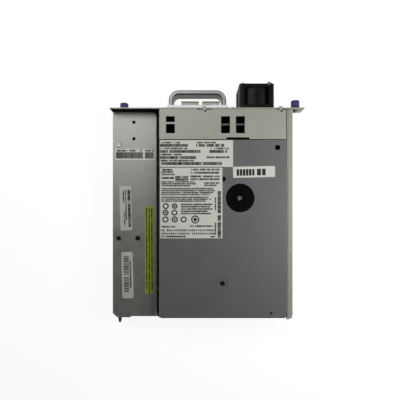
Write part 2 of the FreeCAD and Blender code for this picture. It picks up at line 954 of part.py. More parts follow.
def guide_pin():
    seat = y_front + bracket_setback
    tip = y_front - pin_reach
    rim = pin_size / 2
    tail = rim - clear
    back = seat + sheet
    end = back + sheet
    return turn_y([(0, tip), (rim / 2, tip), (rim, tip + pin_taper), (rim, seat), (tail, seat),
                   (tail, back), (rim, back), (tail, end), (0, end)], pin_x(), pin_height)


def docking_connector():
    left = dock_left()
    right = left + dock_width()
    front = y_front + dock_setback
    low = pin_height - dock_height / 2
    body = box(left, right, front, front + dock_depth, low, low + dock_height)
    seat = y_front + bracket_setback + sheet
    flange = box(left - dock_lip, right + dock_lip, seat, seat + dock_wall,
                 low - dock_lip, low + dock_height + dock_lip)
    cavity = box(left + dock_wall, right - dock_wall, front, front + dock_cavity,
                 low + dock_wall, low + dock_height - dock_wall)
    tongue = box(left + 2 * dock_wall, right - 2 * dock_wall,
                 front + dock_wall, front + dock_cavity, low + dock_wall, low + 2 * dock_wall)
    return fuse(cut(fuse(body, flange), cavity), tongue)


def control_place():
    left = (sled_left + compartment_right - control_width) / 2
    rear = y_panel - control_inset
    return left, rear - control_length, sheet + spacer_height


def corner_places(left, front, width, length, inset):
    across = (left + inset, left + width - inset)
    along = (front + inset, front + length - inset)
    return [(x, y) for x in across for y in along]


def control_board():
    left, front, low = control_place()
    top = low + board
    plate = box(left, left + control_width, front, front + control_length, low, top)
    chips = []
    for index in range(chip_count):
        y = front + control_length * (index + 1) / (chip_count + 1)
        x = left + control_width * chip_shift
        chips.append(box(x - chip_size / 2, x + chip_size / 2, y - chip_size / 2, y + chip_size / 2,
                         low, top + chip_height))
        chips.append(rod_z(left + control_width - chip_size, y, low, top + can_height, can_size))
    tools = [rod_z(x, y, low, top + can_height, post_size + 2 * clear) for x, y in cover_post_places()]
    for x, y in corner_places(left, front, control_width, control_length, spacer_size):
        tools.append(rod_z(x, y, low, top, screw_size))
    return cut(fuse(plate, *chips), *tools)


def control_spacers():
    left, front, low = control_place()
    return [rod_z(x, y, sheet, low, spacer_size)
            for x, y in corner_places(left, front, control_width, control_length, spacer_size)]


def control_screws():
    left, front, low = control_place()
    return [screw_z(x, y, low + board, board)
            for x, y in corner_places(left, front, control_width, control_length, spacer_size)]


def cover_posts():
    posts = []
    for x, y in cover_post_places():
        end = compartment_top - sheet
        hole = rod_z(x, y, end - cover_screw_reach, end, screw_size)
        posts.append(cut(rod_z(x, y, sheet, end, post_size), hole))
    return posts


def cover_screws():
    return [screw_z(x, y, compartment_top, sheet + cover_screw_reach) for x, y in cover_post_places()]


def interface_place():
    middle = handle_offset + socket_offset
    width = socket_pitch + socket_width + 2 * interface_margin
    return middle - width / 2, width, socket_level - socket_height / 2 - board


def interface_board():
    left, width, low = interface_place()
    plate = box(left, left + width, y_panel - interface_depth, y_panel - clear, low, low + board)
    header = box(left + interface_margin, left + width - interface_margin, y_panel - interface_depth,
                 y_panel - interface_depth + dock_wall, low, low + board + chip_size / 2)
    return fuse(plate, header)


def interface_spacers():
    left, width, low = interface_place()
    inset = spacer_size / 2
    front = y_panel - interface_depth
    return [rod_z(x, y, sheet, low, spacer_size)
            for x, y in corner_places(left, front + inset, width, interface_depth - tab_run, inset)]


# Tape drive: casting, covers and front frame

def screw_x(y, z, seat, reach, towards):
    # Side screw; towards is the direction in which its head looks, along X.
    screw = screw_z(0, 0, 0, reach)
    screw.rotate(vec(0, 0, 0), vec(0, 1, 0), 90 * towards)
    screw.translate(vec(seat, y, z))
    return screw


def side_screw_places():
    return [(drive_front + place, drive_top - cover_skirt / 2) for place in side_screw_steps]


def drive_chassis():
    front = drive_front + frame_depth
    inner_left = cast_left + cast_wall
    inner_right = cast_right - cast_wall
    inner_rear = drive_rear - cast_wall
    block = round_plate(cast_left, cast_right, front, drive_rear, cast_bottom, cast_top, cast_wall)
    upper = round_plate(inner_left, inner_right, front - frame_depth, inner_rear,
                        deck_top, cast_top, cast_wall)
    lower = round_plate(inner_left, inner_right, front + cast_wall, inner_rear,
                        cast_bottom, deck_level, cast_wall)
    casting = cut(block, upper, lower)
    bosses = [rod_z(x, y, cast_bottom, deck_level, boss_size) for x, y in drive_screw_places()]
    left, low_y, level = main_place()
    for x, y in corner_places(left, low_y, main_width, main_length, spacer_size):
        bosses.append(rod_z(x, y, level + board, deck_level, spacer_size))
    casting = fuse(casting, *[boss.common(block) for boss in bosses])
    tools = [rod_z(x, y, cast_bottom, deck_level, screw_size) for x, y in drive_screw_places()]
    for y, z in side_screw_places():
        tools.append(rod_x(y, z, cast_left, cast_left + cast_wall, screw_size))
        tools.append(rod_x(y, z, cast_right - cast_wall, cast_right, screw_size))
    x, level = connector_place()
    across = plug_width / 2
    tools.append(box(x - across, x + across, inner_rear, drive_rear, level, level + plug_height))
    return cut(casting, *tools)


def drive_top_cover():
    path = [vec(drive_left, drive_front, drive_top - cover_skirt), vec(drive_left, drive_front, drive_top),
            vec(drive_right, drive_front, drive_top), vec(drive_right, drive_front, drive_top - cover_skirt)]
    skin = bent_strip(path, drive_sheet, cover_play, vec(0, 1, 0), vec(0, drive_length, 0))
    tools = [rod_z(hub_x, hub_y, cast_top, drive_top, hub_opening)]
    for x, y in top_hole_places():
        tools.append(rod_z(x, y, cast_top, drive_top, top_hole))
    mark = vec(drive_right - mark_inset, drive_front + mark_from_front)
    tools.append(rod_z(mark.x, mark.y, cast_top, drive_top, screw_size))
    half = dimple / 2
    middle = drive_front + dimple_from_front
    tools.append(round_plate(drive_mid - half, drive_mid + half, middle - half, middle + half,
                             drive_top - dimple_depth, drive_top, dimple_corner))
    tools.append(rod_z(drive_mid, middle, dimple_under(), drive_top, screw_size))
    half = half + drive_sheet
    dish = round_plate(drive_mid - half, drive_mid + half, middle - half, middle + half,
                       dimple_under(), cast_top, dimple_corner + drive_sheet)
    for y, z in side_screw_places():
        tools.append(rod_x(y, z, drive_left, drive_right, screw_size))
    return cut(fuse(skin, dish), *tools)


def dimple_under():
    # Underside of the pressed dimple.
    return cast_top - dimple_depth


def top_hole_places():
    return [(drive_right - hole_inset_right, drive_rear - hole_inset_rear),
            (hub_x - label_hole_left, hub_y + label_hole_rear)]


def drive_bottom_cover():
    plate = round_plate(drive_left, drive_right, drive_front, drive_rear, drive_bottom, cast_bottom, clear)
    return cut(plate, *[rod_z(x, y, drive_bottom, cast_bottom, screw_size) for x, y in drive_screw_places()])


def drive_side_screws():
    screws = []
    for y, z in side_screw_places():
        screws.append(screw_x(y, z, drive_left, drive_sheet + cast_wall, -1))
        screws.append(screw_x(y, z, drive_right, drive_sheet + cast_wall, 1))
    return screws


def drive_mount_screws():
    # Flat-head screws, flush with the underside of the tray.
    screws = []
    for x, y in drive_screw_places():
        head = Part.makeCone(flat_head / 2, screw_size / 2, sheet, vec(x, y, 0))
        shank = rod_z(x, y, sheet, cast_bottom + mount_screw_reach, screw_size)
        socket = rod_z(x, y, 0, recess_depth, recess / 2)
        screws.append(cut(fuse(head, shank), socket))
    return screws


def main_place():
    return drive_mid - main_width / 2, drive_front + main_inset, deck_level - main_drop - board


def connector_place():
    left, front, level = main_place()
    return drive_mid + plug_offset, level - plug_height


def main_board():
    left, front, level = main_place()
    plate = box(left, left + main_width, front, front + main_length, level, level + board)
    chips = []
    for index in range(chip_count):
        y = front + main_length * (index + 1) / (chip_count + 1)
        x = left + main_width * chip_columns[index % 2]
        chips.append(box(x - chip_size, x + chip_size, y - chip_size, y + chip_size,
                         level - chip_height, level))
    return fuse(plate, *chips)


def drive_connector():
    x, level = connector_place()
    left, front, board_level = main_place()
    across = plug_width / 2 - fit
    body = box(x - across, x + across, front + main_length - plug_depth, drive_rear,
               level + fit, board_level)
    mouth = box(x - across + dock_wall, x + across - dock_wall, drive_rear - dock_cavity, drive_rear,
                level + socket_wall, board_level - socket_wall)
    return cut(body, mouth)


def slot_low():
    return deck_top + tray_rest + tray_sheet - slot_play


def hinge_line():
    return drive_front + flap_setback, cast_top - flap_pin - clear / 2


def front_frame():
    back = drive_front + frame_depth
    across = cartridge_width / 2 + slot_play
    frame = box(cast_left, cast_right, drive_front, back, cast_bottom, cast_top)
    slot = box(drive_mid - across, drive_mid + across, drive_front, back, slot_low(), cast_top)
    flare = []
    for y, grow in ((drive_front, slot_flare), (drive_front + slot_flare, 0.0)):
        left = drive_mid - across - grow
        right = drive_mid + across + grow
        low = slot_low() - grow
        corners = [vec(left, y, low), vec(right, y, low), vec(right, y, cast_top), vec(left, y, cast_top)]
        flare.append(Part.makePolygon(corners + corners[:1]))
    y, z = hinge_line()
    reach = across + flap_pin_reach
    pin_hole = rod_x(y, z, drive_mid - reach, drive_mid + reach, flap_pin)
    return cut(frame, slot, Part.makeLoft(flare, True, True), pin_hole)


def door_flap():
    # Plate that hangs from a rolled barrel along its top edge.
    y, z = hinge_line()
    across = cartridge_width / 2 - flap_side
    left = drive_mid - across
    right = drive_mid + across
    plate = box(left, right, y - flap_thick / 2, y + flap_thick / 2, slot_low() + clear, z)
    along = [edge for edge in plate.Edges if edge.BoundBox.XLength > across]
    foot = [edge for edge in along if edge.BoundBox.ZMax < z - clear]
    plate = plate.makeFillet(flap_thick / 2 - fit, foot)
    barrel = rod_x(y, z, left, right, flap_pin + 2 * flap_wall)
    return cut(fuse(plate, barrel), rod_x(y, z, left, right, flap_pin + 2 * fit))


def flap_hinge_pin():
    y, z = hinge_line()
    reach = cartridge_width / 2 + slot_play + flap_pin_reach
    return rod_x(y, z, drive_mid - reach, drive_mid + reach, flap_pin)


def hold_down_spring():
    # Bowed leaf under the top cover that steadies the cartridge.
    middle = drive_front + dimple_from_front
    left = drive_mid - dimple / 2
    seat = dimple_under()
    path = [vec(left, middle - dimple / 2, seat), vec(left, middle + dimple / 2, seat),
            vec(left, middle + dimple, seat - leaf_bow), vec(left, middle + 2 * dimple, seat - leaf_bow / 2)]
    leaf = bent_strip(path, leaf_thick, clear, vec(-1, 0, 0), vec(dimple, 0, 0))
    return cut(leaf, rod_z(drive_mid, middle, seat - leaf_bow, seat, screw_size))


def dimple_screw():
    reach = drive_sheet + leaf_thick
    return screw_z(drive_mid, drive_front + dimple_from_front, drive_top - dimple_depth, reach)


# Cartridge loader: tray, cam slide, gear train

def tray_span():
    return drive_front + frame_depth + tray_inset, drive_front + cartridge_length + clear


def cam_places():
    front, rear = tray_span()
    return [front + slide_travel + cam_inset, rear - slide_travel - cam_inset]


def cam_height():
    return deck_top + tray_rest + tray_wall / 2 + cam_pin


def slide_inner():
    return cartridge_width / 2 + tray_play + tray_sheet + slide_play


def cartridge_tray():
    front, rear = tray_span()
    low = deck_top + tray_rest
    inner = cartridge_width / 2 + tray_play
    outer = inner + tray_sheet
    path = [vec(drive_mid - outer, front, low + tray_wall), vec(drive_mid - outer, front, low),
            vec(drive_mid + outer, front, low), vec(drive_mid + outer, front, low + tray_wall)]
    tray = bent_strip(path, tray_sheet, tray_play, vec(0, -1, 0), vec(0, rear - front, 0))
    stop = box(drive_mid - stop_width / 2, drive_mid + stop_width / 2, rear - tray_sheet, rear,
               low, low + tray_wall / 2)
    pins = []
    root = inner + tray_sheet / 2
    tip = slide_inner() + slide_sheet + slide_play
    for y in cam_places():
        pins.append(rod_x(y, cam_height(), drive_mid + root, drive_mid + tip, cam_pin))
        pins.append(rod_x(y, cam_height(), drive_mid - tip, drive_mid - root, cam_pin))
    tray = fuse(tray, stop, *pins)
    return cut(tray, rod_z(drive_mid, supply_y(), low, low + tray_sheet, clutch_size + 2 * clutch_room))


def cam_slot(y, x0, x1):
    # Slanted slot that lowers a tray pin while the slide moves back.
    width = cam_pin + 2 * cam_play
    z = cam_height()
    start = vec(x0, y, z)
    end = vec(x0, y - slide_travel, z - tray_travel)
    along = (end - start).normalize()
    across = along.cross(vec(1, 0, 0)) * (width / 2)
    corners = [start + across, end + across, end - across, start - across]
    body = prism(corners, vec(x1 - x0, 0, 0))
    return fuse(body, rod_x(start.y, start.z, x0, x1, width), rod_x(end.y, end.z, x0, x1, width))


def gear_x():
    return drive_mid + slide_inner() + slide_sheet + rack_back + gear_module * (dedendum + gear_teeth / 2)


def gear_y():
    return hub_y - gear_behind


def pinion_y():
    return gear_y() + gear_module * (gear_teeth + pinion_teeth) / 2


def tooth_halves():
    pitch_half = (math.pi * gear_module - gear_backlash) / 4
    slope = math.tan(math.radians(pressure_angle))
    return pitch_half + dedendum * gear_module * slope, pitch_half - addendum * gear_module * slope


def rack_tooth(y, root_x, low):
    root, tip = tooth_halves()
    tip_x = root_x + (addendum + dedendum) * gear_module
    return prism([vec(root_x, y - root, low), vec(tip_x, y - tip, low), vec(tip_x, y + tip, low),
                  vec(root_x, y + root, low)], vec(0, 0, gear_face))


def spur_gear(x, y, teeth, phase, low, bore):
    # Straight-flanked teeth; phase is the direction of the first tooth in degrees.
    root, tip = tooth_halves()
    pitch_radius = gear_module * teeth / 2
    root_radius = pitch_radius - dedendum * gear_module
    tip_radius = pitch_radius + addendum * gear_module
    points = []
    for index in range(teeth):
        middle = math.radians(phase + 360 * index / teeth)
        flanks = ((root_radius, -root), (tip_radius, -tip), (tip_radius, tip), (root_radius, root))
        for radius, half in flanks:
            angle = middle + half / radius
            points.append(vec(x + radius * math.cos(angle), y + radius * math.sin(angle), low))
    return cut(prism(points, vec(0, 0, gear_face)), rod_z(x, y, low, low + gear_face, bore))


def loader_slide():
    front, rear = tray_span()
    inner = slide_inner()
    outer = inner + slide_sheet
    low = deck_top + clear
    top = cast_top - bridge_drop
    end = rear - slide_travel
    path = [vec(drive_mid - outer, front, low), vec(drive_mid - outer, front, top),
            vec(drive_mid + outer, front, top), vec(drive_mid + outer, front, low)]
    yoke = bent_strip(path, slide_sheet, clear, vec(0, 1, 0), vec(0, end - front, 0))
    cheek_top = cam_height() + cam_pin + 2 * clear
    tools = [box(drive_mid - outer, drive_mid + outer, front, end - bridge_length, cheek_top, top)]
    for y in cam_places():
        for side in (-1, 1):
            x = drive_mid + side * (inner + slide_sheet / 2)
            tools.append(cam_slot(y, x - slide_sheet, x + slide_sheet))
    yoke = cut(yoke, *tools)
    back = drive_mid + outer + rack_back
    tooth_pitch = math.pi * gear_module
    teeth_end = gear_y() + rack_spare_teeth * tooth_pitch
    bar = box(drive_mid + inner, back, end - bridge_length, teeth_end, gear_level, gear_level + gear_face)
    teeth = []
    count = int(slide_travel / tooth_pitch) + 2 * rack_spare_teeth
    for index in range(count):
        y = teeth_end - (index + 0.5) * tooth_pitch
        teeth.append(rack_tooth(y, back, gear_level))
    return fuse(yoke, bar, *teeth)


def pinion_phase():
    # The pinion shows a tooth where the gear shows a gap, on the line between their centres.
    pitch = 360 / gear_teeth
    gear_part = ((90 - gear_start) / pitch) % 1
    return -90 + (gear_part - 0.5) * 360 / pinion_teeth


def loader_gear():
    return spur_gear(gear_x(), gear_y(), gear_teeth, gear_start, gear_level, gear_pin + 2 * fit)


def loader_gear_pin():
    x, y = gear_x(), gear_y()
    return stepped_post(x, y, gear_pin, gear_level, gear_level + gear_face)


def loader_pinion():
    x, y = gear_x(), pinion_y()
    wheel = spur_gear(x, y, pinion_teeth, pinion_phase(), gear_level, gear_pin)
    return fuse(wheel, rod_z(x, y, gear_level - motor_gap - pinion_stub, gear_level + gear_face, gear_pin))


def loader_motor():
    top = gear_level - motor_gap
    can = rod_z(gear_x(), pinion_y(), deck_top, top, loader_motor_size)
    return cut(can, rod_z(gear_x(), pinion_y(), top - pinion_stub - clear, top, gear_pin + 2 * fit))


# Reels and their motors

def supply_y():
    return drive_front + cartridge_length / 2


def tape_top():
    return tape_level + tape_width + tape_room


def takeup_reel():
    hub = reel_hub / 2
    rim = reel_size / 2
    bore = reel_shaft / 2
    low = tape_level - reel_flange
    top = tape_top()
    inner = hub - hub_wall
    return turn_z([(bore, low), (rim, low), (rim, tape_level - reel_flange / 2), (hub, tape_level),
                   (hub, top), (inner, top), (inner, tape_level), (bore, tape_level)], hub_x, hub_y)


def takeup_flange():
    bore = reel_shaft / 2
    rim = reel_size / 2
    low = tape_top()
    return turn_z([(bore, low), (reel_hub / 2, low), (rim, low + reel_flange / 2), (rim, low + reel_flange),
                   (bore, low + reel_flange)], hub_x, hub_y)


def takeup_shaft():
    return rod_z(hub_x, hub_y, deck_top + clear, tape_top() + reel_flange, reel_shaft)


def takeup_hub_cap():
    # Dished disc that closes the round opening of the top cover.
    low = tape_top() + reel_flange
    rim = hub_cap / 2
    top = drive_top - clear
    skirt = top - cap_edge
    stem = cap_stem / 2
    well = top - cap_well
    return turn_z([(screw_size / 2, low), (stem, low), (stem, skirt), (rim, skirt), (rim, top - clear),
                   (rim - clear, top), (rim - cap_rim, top), (rim - cap_rim - clear, top - clear),
                   (screw_head, top - clear), (screw_head, well), (screw_size / 2, well)], hub_x, hub_y)


def hub_screw():
    low = tape_top() + reel_flange
    well = drive_top - clear - cap_well
    return screw_z(hub_x, hub_y, well, well - low)


def takeup_motor():
    # Flat motor on the deck, with a slot between its coils.
    top = tape_level - reel_flange - motor_air
    bore = reel_shaft / 2 + fit
    rim = motor_size / 2
    ring = turn_z([(bore, deck_top), (rim, deck_top), (rim, top - motor_air), (rim - motor_air, top),
                   (bore, top)], hub_x, hub_y)
    slots = []
    for index in range(motor_coils):
        slot = box(motor_core / 2, rim, -motor_air / 2, motor_air / 2, top - 2 * motor_air, top)
        slot.rotate(vec(0, 0, 0), vec(0, 0, 1), 360 * index / motor_coils)
        slot.translate(vec(hub_x, hub_y, 0))
        slots.append(slot)
    return cut(ring, *slots)


def supply_motor():
    rim = clutch_size / 2
    top = deck_top + supply_motor_height
    bore = reel_shaft / 2 + fit
    return turn_z([(bore, deck_top), (rim, deck_top), (rim, top), (bore, top)], drive_mid, supply_y())


def supply_clutch():
    # Toothed ring that meets the underside of the cartridge reel.
    low = deck_top + supply_motor_height + clear
    top = low + clutch_plate
    rim = clutch_size / 2
    shaft = reel_shaft / 2
    foot = deck_top + clear
    disc = turn_z([(0, foot), (shaft, foot), (shaft, low), (rim, low), (rim, top), (0, top)],
                  drive_mid, supply_y())
    teeth = []
    for index in range(clutch_teeth):
        half = math.pi * rim / clutch_teeth / 2
        inner = rim - clutch_band
        wires = [tooth_wire(inner, half * inner / rim), tooth_wire(rim - fit, half)]
        tooth = Part.makeLoft(wires, True, True)
        tooth.rotate(vec(0, 0, 0), vec(0, 0, 1), 360 * index / clutch_teeth)
        tooth.translate(vec(drive_mid, supply_y(), top))
        teeth.append(tooth)
    return fuse(disc, *teeth)


def tooth_wire(radius, half):
    corners = [vec(radius, -half, 0), vec(radius, half, 0), vec(radius, 0, clutch_tooth)]
    return Part.makePolygon(corners + corners[:1])


# Tape path: rollers, head and threading arm

def roller_places():
    wall = cast_left + cast_wall + roller_size / 2 + roller_flange + clear
    ring = reel_size / 2 + roller_size / 2 + roller_flange + roller_gap
    places = [(wall + roller_inset, hub_y - roller_forward), (wall + 2 * roller_inset, hub_y + roller_back)]
    for angle in roller_angles:
        turn = math.radians(angle)
        places.append((hub_x + ring * math.cos(turn), hub_y + ring * math.sin(turn)))
    return places


def guide_roller(x, y):
    rim = roller_size / 2
    edge = rim + roller_flange
    bore = roller_post / 2 + fit
    low = tape_level - roller_flange
    top = tape_top()
    return turn_z([(bore, low), (edge, low), (edge, tape_level - clear), (rim, tape_level), (rim, top),
                   (edge, top + clear), (edge, top + roller_flange), (bore, top + roller_flange)], x, y)


def roller_post_pin(x, y):
    return stepped_post(x, y, roller_post, tape_level - roller_flange, tape_top() + roller_flange)


def head_turned(shape):
    # The head faces the tape between the second and third roller.
    first, second = roller_places()[1:3]
    angle = math.degrees(math.atan2(second[1] - first[1], second[0] - first[0]))
    shape.rotate(vec(0, 0, 0), vec(0, 0, 1), angle)
    shape.translate(vec((first[0] + second[0]) / 2, (first[1] + second[1]) / 2, 0))
    return shape


def head_base():
    half = head_width / 2 + head_post + cast_wall
    plate = round_plate(-half, half, 0, head_depth + head_block, deck_top, deck_top + head_plate, cast_wall)
    middle = head_depth + head_block / 2
    holes = [rod_z(side * head_width / 2, middle, deck_top, deck_top + head_plate, head_post)
             for side in (-1, 1)]
    return head_turned(cut(plate, *holes))


def head_posts():
    top = tape_top() + head_travel
    return [head_turned(rod_z(side * head_width / 2, head_depth + head_block / 2, deck_top, top, head_post))
            for side in (-1, 1)]


def head_carriage():
    low = deck_top + head_plate + head_travel + clear
    top = tape_top() - head_travel
    half = head_width / 2 + head_post
    block = round_plate(-half, half, head_depth, head_depth + head_block, low, top, clear)
    holes = [rod_z(side * head_width / 2, head_depth + head_block / 2, low, top, head_post + 2 * fit)
             for side in (-1, 1)]
    return head_turned(cut(block, *holes))


def tape_head():
    # Contoured face with two rounded ridges across the tape path.
    low = tape_level - clear
    top = tape_top() - head_travel
    body = box(-head_width / 2, head_width / 2, head_ridge, head_depth, low, top)
    ridges = [rod_z(side * ridge_pitch / 2, head_ridge, low, top, 2 * head_ridge) for side in (-1, 1)]
    return head_turned(fuse(body, *ridges))


def arm_place():
    return roller_places()[1][0] + arm_from_roller, hub_y - arm_forward


def threading_arm():
    x, y = arm_place()
    low = tape_top() + roller_flange + arm_lift
    top = low + arm_thick
    plate = slot_z(-arm_width / 2, arm_length + arm_width / 2, 0, low, top, arm_width)
    collar = rod_z(0, 0, low, top + arm_thick, arm_shaft + 2 * arm_thick)
    hook = turn_z([(0, low - arm_hook), (arm_hook_tip / 2, low - arm_hook), (arm_width / 2 - fit, low),
                   (0, low)], arm_length, 0)
    shaft = rod_z(0, 0, low - motor_gap - pinion_stub, top, arm_shaft)
    arm = fuse(plate, collar, hook, shaft)
    arm.rotate(vec(0, 0, 0), vec(0, 0, 1), arm_rest)
    arm.translate(vec(x, y, 0))
    return arm


def arm_motor_can():
    x, y = arm_place()
    top = tape_top() + roller_flange + arm_lift - motor_gap
    can = rod_z(x, y, deck_top, top, arm_motor)
    return cut(can, rod_z(x, y, top - pinion_stub - clear, top, arm_shaft + 2 * fit))


# All pieces

def main():
    os.makedirs("parts", exist_ok=True)
    save("base_tray", base_tray())
    save("side_cover", side_cover())
    save("rear_cover", rear_cover())
    save("rear_panel", rear_panel())
    save("pull_handle", pull_handle())
    save("handle_base", handle_base())
    single, *pair = cover_screws()
    save("panel_screws", *panel_screws(), *handle_screws(), *control_screws(), single)
    save("cover_posts", *cover_posts())
    save("cover_screws", *pair, dimple_screw())
    save("socket_shells", *[socket_shell(x) for x in socket_places()])
    save("socket_inserts", *[socket_insert(x) for x in socket_places()])
    save("interface_board", interface_board())
    save("fan_frame", fan_frame())
    save("fan_rotor", fan_rotor())
    save("fan_bearings", *fan_bearings())
    save("fan_stator", fan_stator())
    save("fan_screws", *fan_screws(), *[hex_nut(x, z) for x, z in fan_screw_places()])
    for side, (x, z) in thumb_places().items():
        save(side + "_thumb_knob", thumb_knob(x, z))
        save(side + "_thumb_screw", thumb_screw(x, z))
        save(side + "_thumb_ring", thumb_ring(x, z))
    save("thumb_bushes", *[thumb_bush(x, z) for x, z in thumb_places().values()])
    save("dock_bracket", dock_bracket())
    save("guide_pin", guide_pin())
    save("docking_connector", docking_connector())
    save("control_board", control_board())
    save("board_spacers", *control_spacers(), *interface_spacers())
    save("drive_chassis", drive_chassis())
    save("drive_top_cover", drive_top_cover())
    save("drive_bottom_cover", drive_bottom_cover())
    save("drive_screws", *drive_side_screws(), *drive_mount_screws())
    save("main_board", main_board())
    save("drive_connector", drive_connector())
    save("front_frame", front_frame())
    save("door_flap", door_flap())
    save("flap_hinge_pin", flap_hinge_pin())
    save("hold_down_spring", hold_down_spring())
    save("cartridge_tray", cartridge_tray())
    save("loader_slide", loader_slide())
    save("loader_gear", loader_gear())
    save("loader_pinion", loader_pinion())
    save("small_motors", loader_motor(), arm_motor_can())
    save("takeup_reel", takeup_reel())
    save("takeup_flange", takeup_flange())
    save("takeup_shaft", takeup_shaft())
    save("takeup_hub_cap", takeup_hub_cap())
    save("hub_screw", hub_screw())
    save("reel_motors", takeup_motor(), supply_motor())
    save("supply_clutch", supply_clutch())
    for index, (x, y) in enumerate(roller_places()):
        save("guide_roller_" + str(index + 1), guide_roller(x, y))
    posts = [roller_post_pin(x, y) for x, y in roller_places()]
    save("deck_posts", loader_gear_pin(), *head_posts(), *posts)
    save("head_base", head_base())
    save("head_carriage", head_carriage())
    save("tape_head", tape_head())
    save("threading_arm", threading_arm())


main()
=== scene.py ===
import bmesh
import bpy
import json
import math
from mathutils import Matrix, Vector


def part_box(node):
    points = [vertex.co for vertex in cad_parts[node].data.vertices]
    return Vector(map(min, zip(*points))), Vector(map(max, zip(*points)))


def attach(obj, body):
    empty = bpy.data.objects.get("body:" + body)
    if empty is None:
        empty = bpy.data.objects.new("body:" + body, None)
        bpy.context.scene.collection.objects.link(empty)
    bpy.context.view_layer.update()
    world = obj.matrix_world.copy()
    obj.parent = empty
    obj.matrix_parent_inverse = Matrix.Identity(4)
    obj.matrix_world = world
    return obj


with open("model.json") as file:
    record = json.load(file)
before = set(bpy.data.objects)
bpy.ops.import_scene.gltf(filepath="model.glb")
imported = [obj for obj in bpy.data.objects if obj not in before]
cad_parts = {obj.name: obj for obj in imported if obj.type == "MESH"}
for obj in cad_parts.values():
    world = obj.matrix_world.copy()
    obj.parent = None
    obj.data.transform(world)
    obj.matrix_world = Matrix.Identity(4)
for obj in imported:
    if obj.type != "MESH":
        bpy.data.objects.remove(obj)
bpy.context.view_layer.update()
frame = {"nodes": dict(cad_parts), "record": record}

mm = 0.001
print("frame loaded:", len(frame["nodes"]), "nodes")


def toLinear(hexValue):
    # sRGB hex to the linear colour that the shader sockets take
    channels = [int(hexValue[i:i + 2], 16) / 255 for i in (1, 3, 5)]
    return tuple(c / 12.92 if c <= 0.04045 else ((c + 0.055) / 1.055) ** 2.4 for c in channels) + (1.0,)


def addNode(tree, kind, values=None, links=None, **settings):
    node = tree.nodes.new(kind)
    for name, value in settings.items():
        setattr(node, name, value)
    for key, value in (values or {}).items():
        node.inputs[key].default_value = value
    for key, socket in (links or {}).items():
        tree.links.new(socket, node.inputs[key])
    return node


# What all finishes share: how fine the two noises are and how much of the grain shows in the tone,
# the part of a noise's range that is used, and, for the painted shade in folds, the open sky over a point from deep in
# a fold to clear of it
patchDetail = 3.0
grainDetail = 2.0
grainShare = 0.35
noiseSpread = {"From Min": 0.3, "From Max": 0.7}
paintedShadeSpread = {"From Min": 0.35, "From Max": 0.75}
paintedShadeSamples = 8


def makeFinish(name, look):
    # look: colour and its second tone, patch and grain sizes in mm, roughness range, metallic, bump depth in mm;
    # the painted shade of folds: how far in mm the ambient occlusion of a fold reaches and the share of colour left in
    # it, the painted highlight and shade by height: the height in mm over which the dark flank colour turns into the
    # bright upper edge
    material = bpy.data.materials.new(name)
    material.use_nodes = True
    tree = material.node_tree
    tree.nodes.clear()
    out = addNode(tree, "ShaderNodeOutputMaterial")
    place = addNode(tree, "ShaderNodeTexCoord").outputs["Object"]
    stretch = look.get("stretch", (1.0, 1.0, 1.0))
    laid = addNode(tree, "ShaderNodeMapping", {"Scale": stretch}, {"Vector": place}).outputs["Vector"]
    patches = addNode(tree, "ShaderNodeTexNoise", {"Scale": 1 / (look["patch"] * mm), "Detail": patchDetail},
                      {"Vector": place}).outputs["Fac"]
    grain = addNode(tree, "ShaderNodeTexNoise", {"Scale": 1 / (look["grain"] * mm), "Detail": grainDetail},
                    {"Vector": laid}).outputs["Fac"]
    both = addNode(tree, "ShaderNodeMix", {"Factor": grainShare}, {"A": patches, "B": grain},
                   data_type="FLOAT").outputs["Result"]
    tone = addNode(tree, "ShaderNodeMapRange", noiseSpread, {"Value": both}).outputs["Result"]
    colour = addNode(tree, "ShaderNodeMix", {"A": toLinear(look["colour"]), "B": toLinear(look["second"])},
                     {"Factor": tone}, data_type="RGBA").outputs[2]
    # painted highlight and painted shade: by height, the colour turns from the dark flank colour to the bright colour
    # of the upper edge
    if "paintedHighlightTop" in look:
        rise = addNode(tree, "ShaderNodeSeparateXYZ", links={"Vector": place}).outputs["Z"]
        foot, top = look["paintedHighlightTop"]
        paintedHighlightTop = addNode(tree, "ShaderNodeMapRange", {"From Min": foot * mm, "From Max": top * mm},
                        {"Value": rise}).outputs["Result"]
        colour = addNode(tree, "ShaderNodeMix", {"A": toLinear(look["paintedShadeFlank"])}, {"B": colour, "Factor": paintedHighlightTop},
                         data_type="RGBA").outputs[2]
    # painted shade: the colour is darkened where ambient occlusion finds a point closed in, in folds, slits and
    # recesses
    if "paintedFoldShade" in look:
        reach, share = look["paintedFoldShade"]
        clear = addNode(tree, "ShaderNodeAmbientOcclusion", {"Distance": reach * mm}, samples=paintedShadeSamples).outputs["AO"]
        left = addNode(tree, "ShaderNodeMapRange", {**paintedShadeSpread, "To Min": share}, {"Value": clear}).outputs["Result"]
        colour = addNode(tree, "ShaderNodeMix", {"Factor": 1.0}, {"A": colour, "B": left}, data_type="RGBA",
                         blend_type="MULTIPLY").outputs[2]
    smoothest, roughest = look["rough"]
    rough = addNode(tree, "ShaderNodeMapRange", {**noiseSpread, "To Min": smoothest, "To Max": roughest},
                    {"Value": both}).outputs["Result"]
    bump = addNode(tree, "ShaderNodeBump", {"Strength": look["bump"], "Distance": look["depth"] * mm},
                   {"Height": grain})
    skin = addNode(tree, "ShaderNodeBsdfPrincipled", {"Metallic": look.get("metallic", 0.0)},
                   {"Base Color": colour, "Roughness": rough, "Normal": bump.outputs["Normal"]})
    for key, value in look.get("extra", {}).items():
        skin.inputs[key].default_value = value
    tree.links.new(skin.outputs["BSDF"], out.inputs["Surface"])
    return material
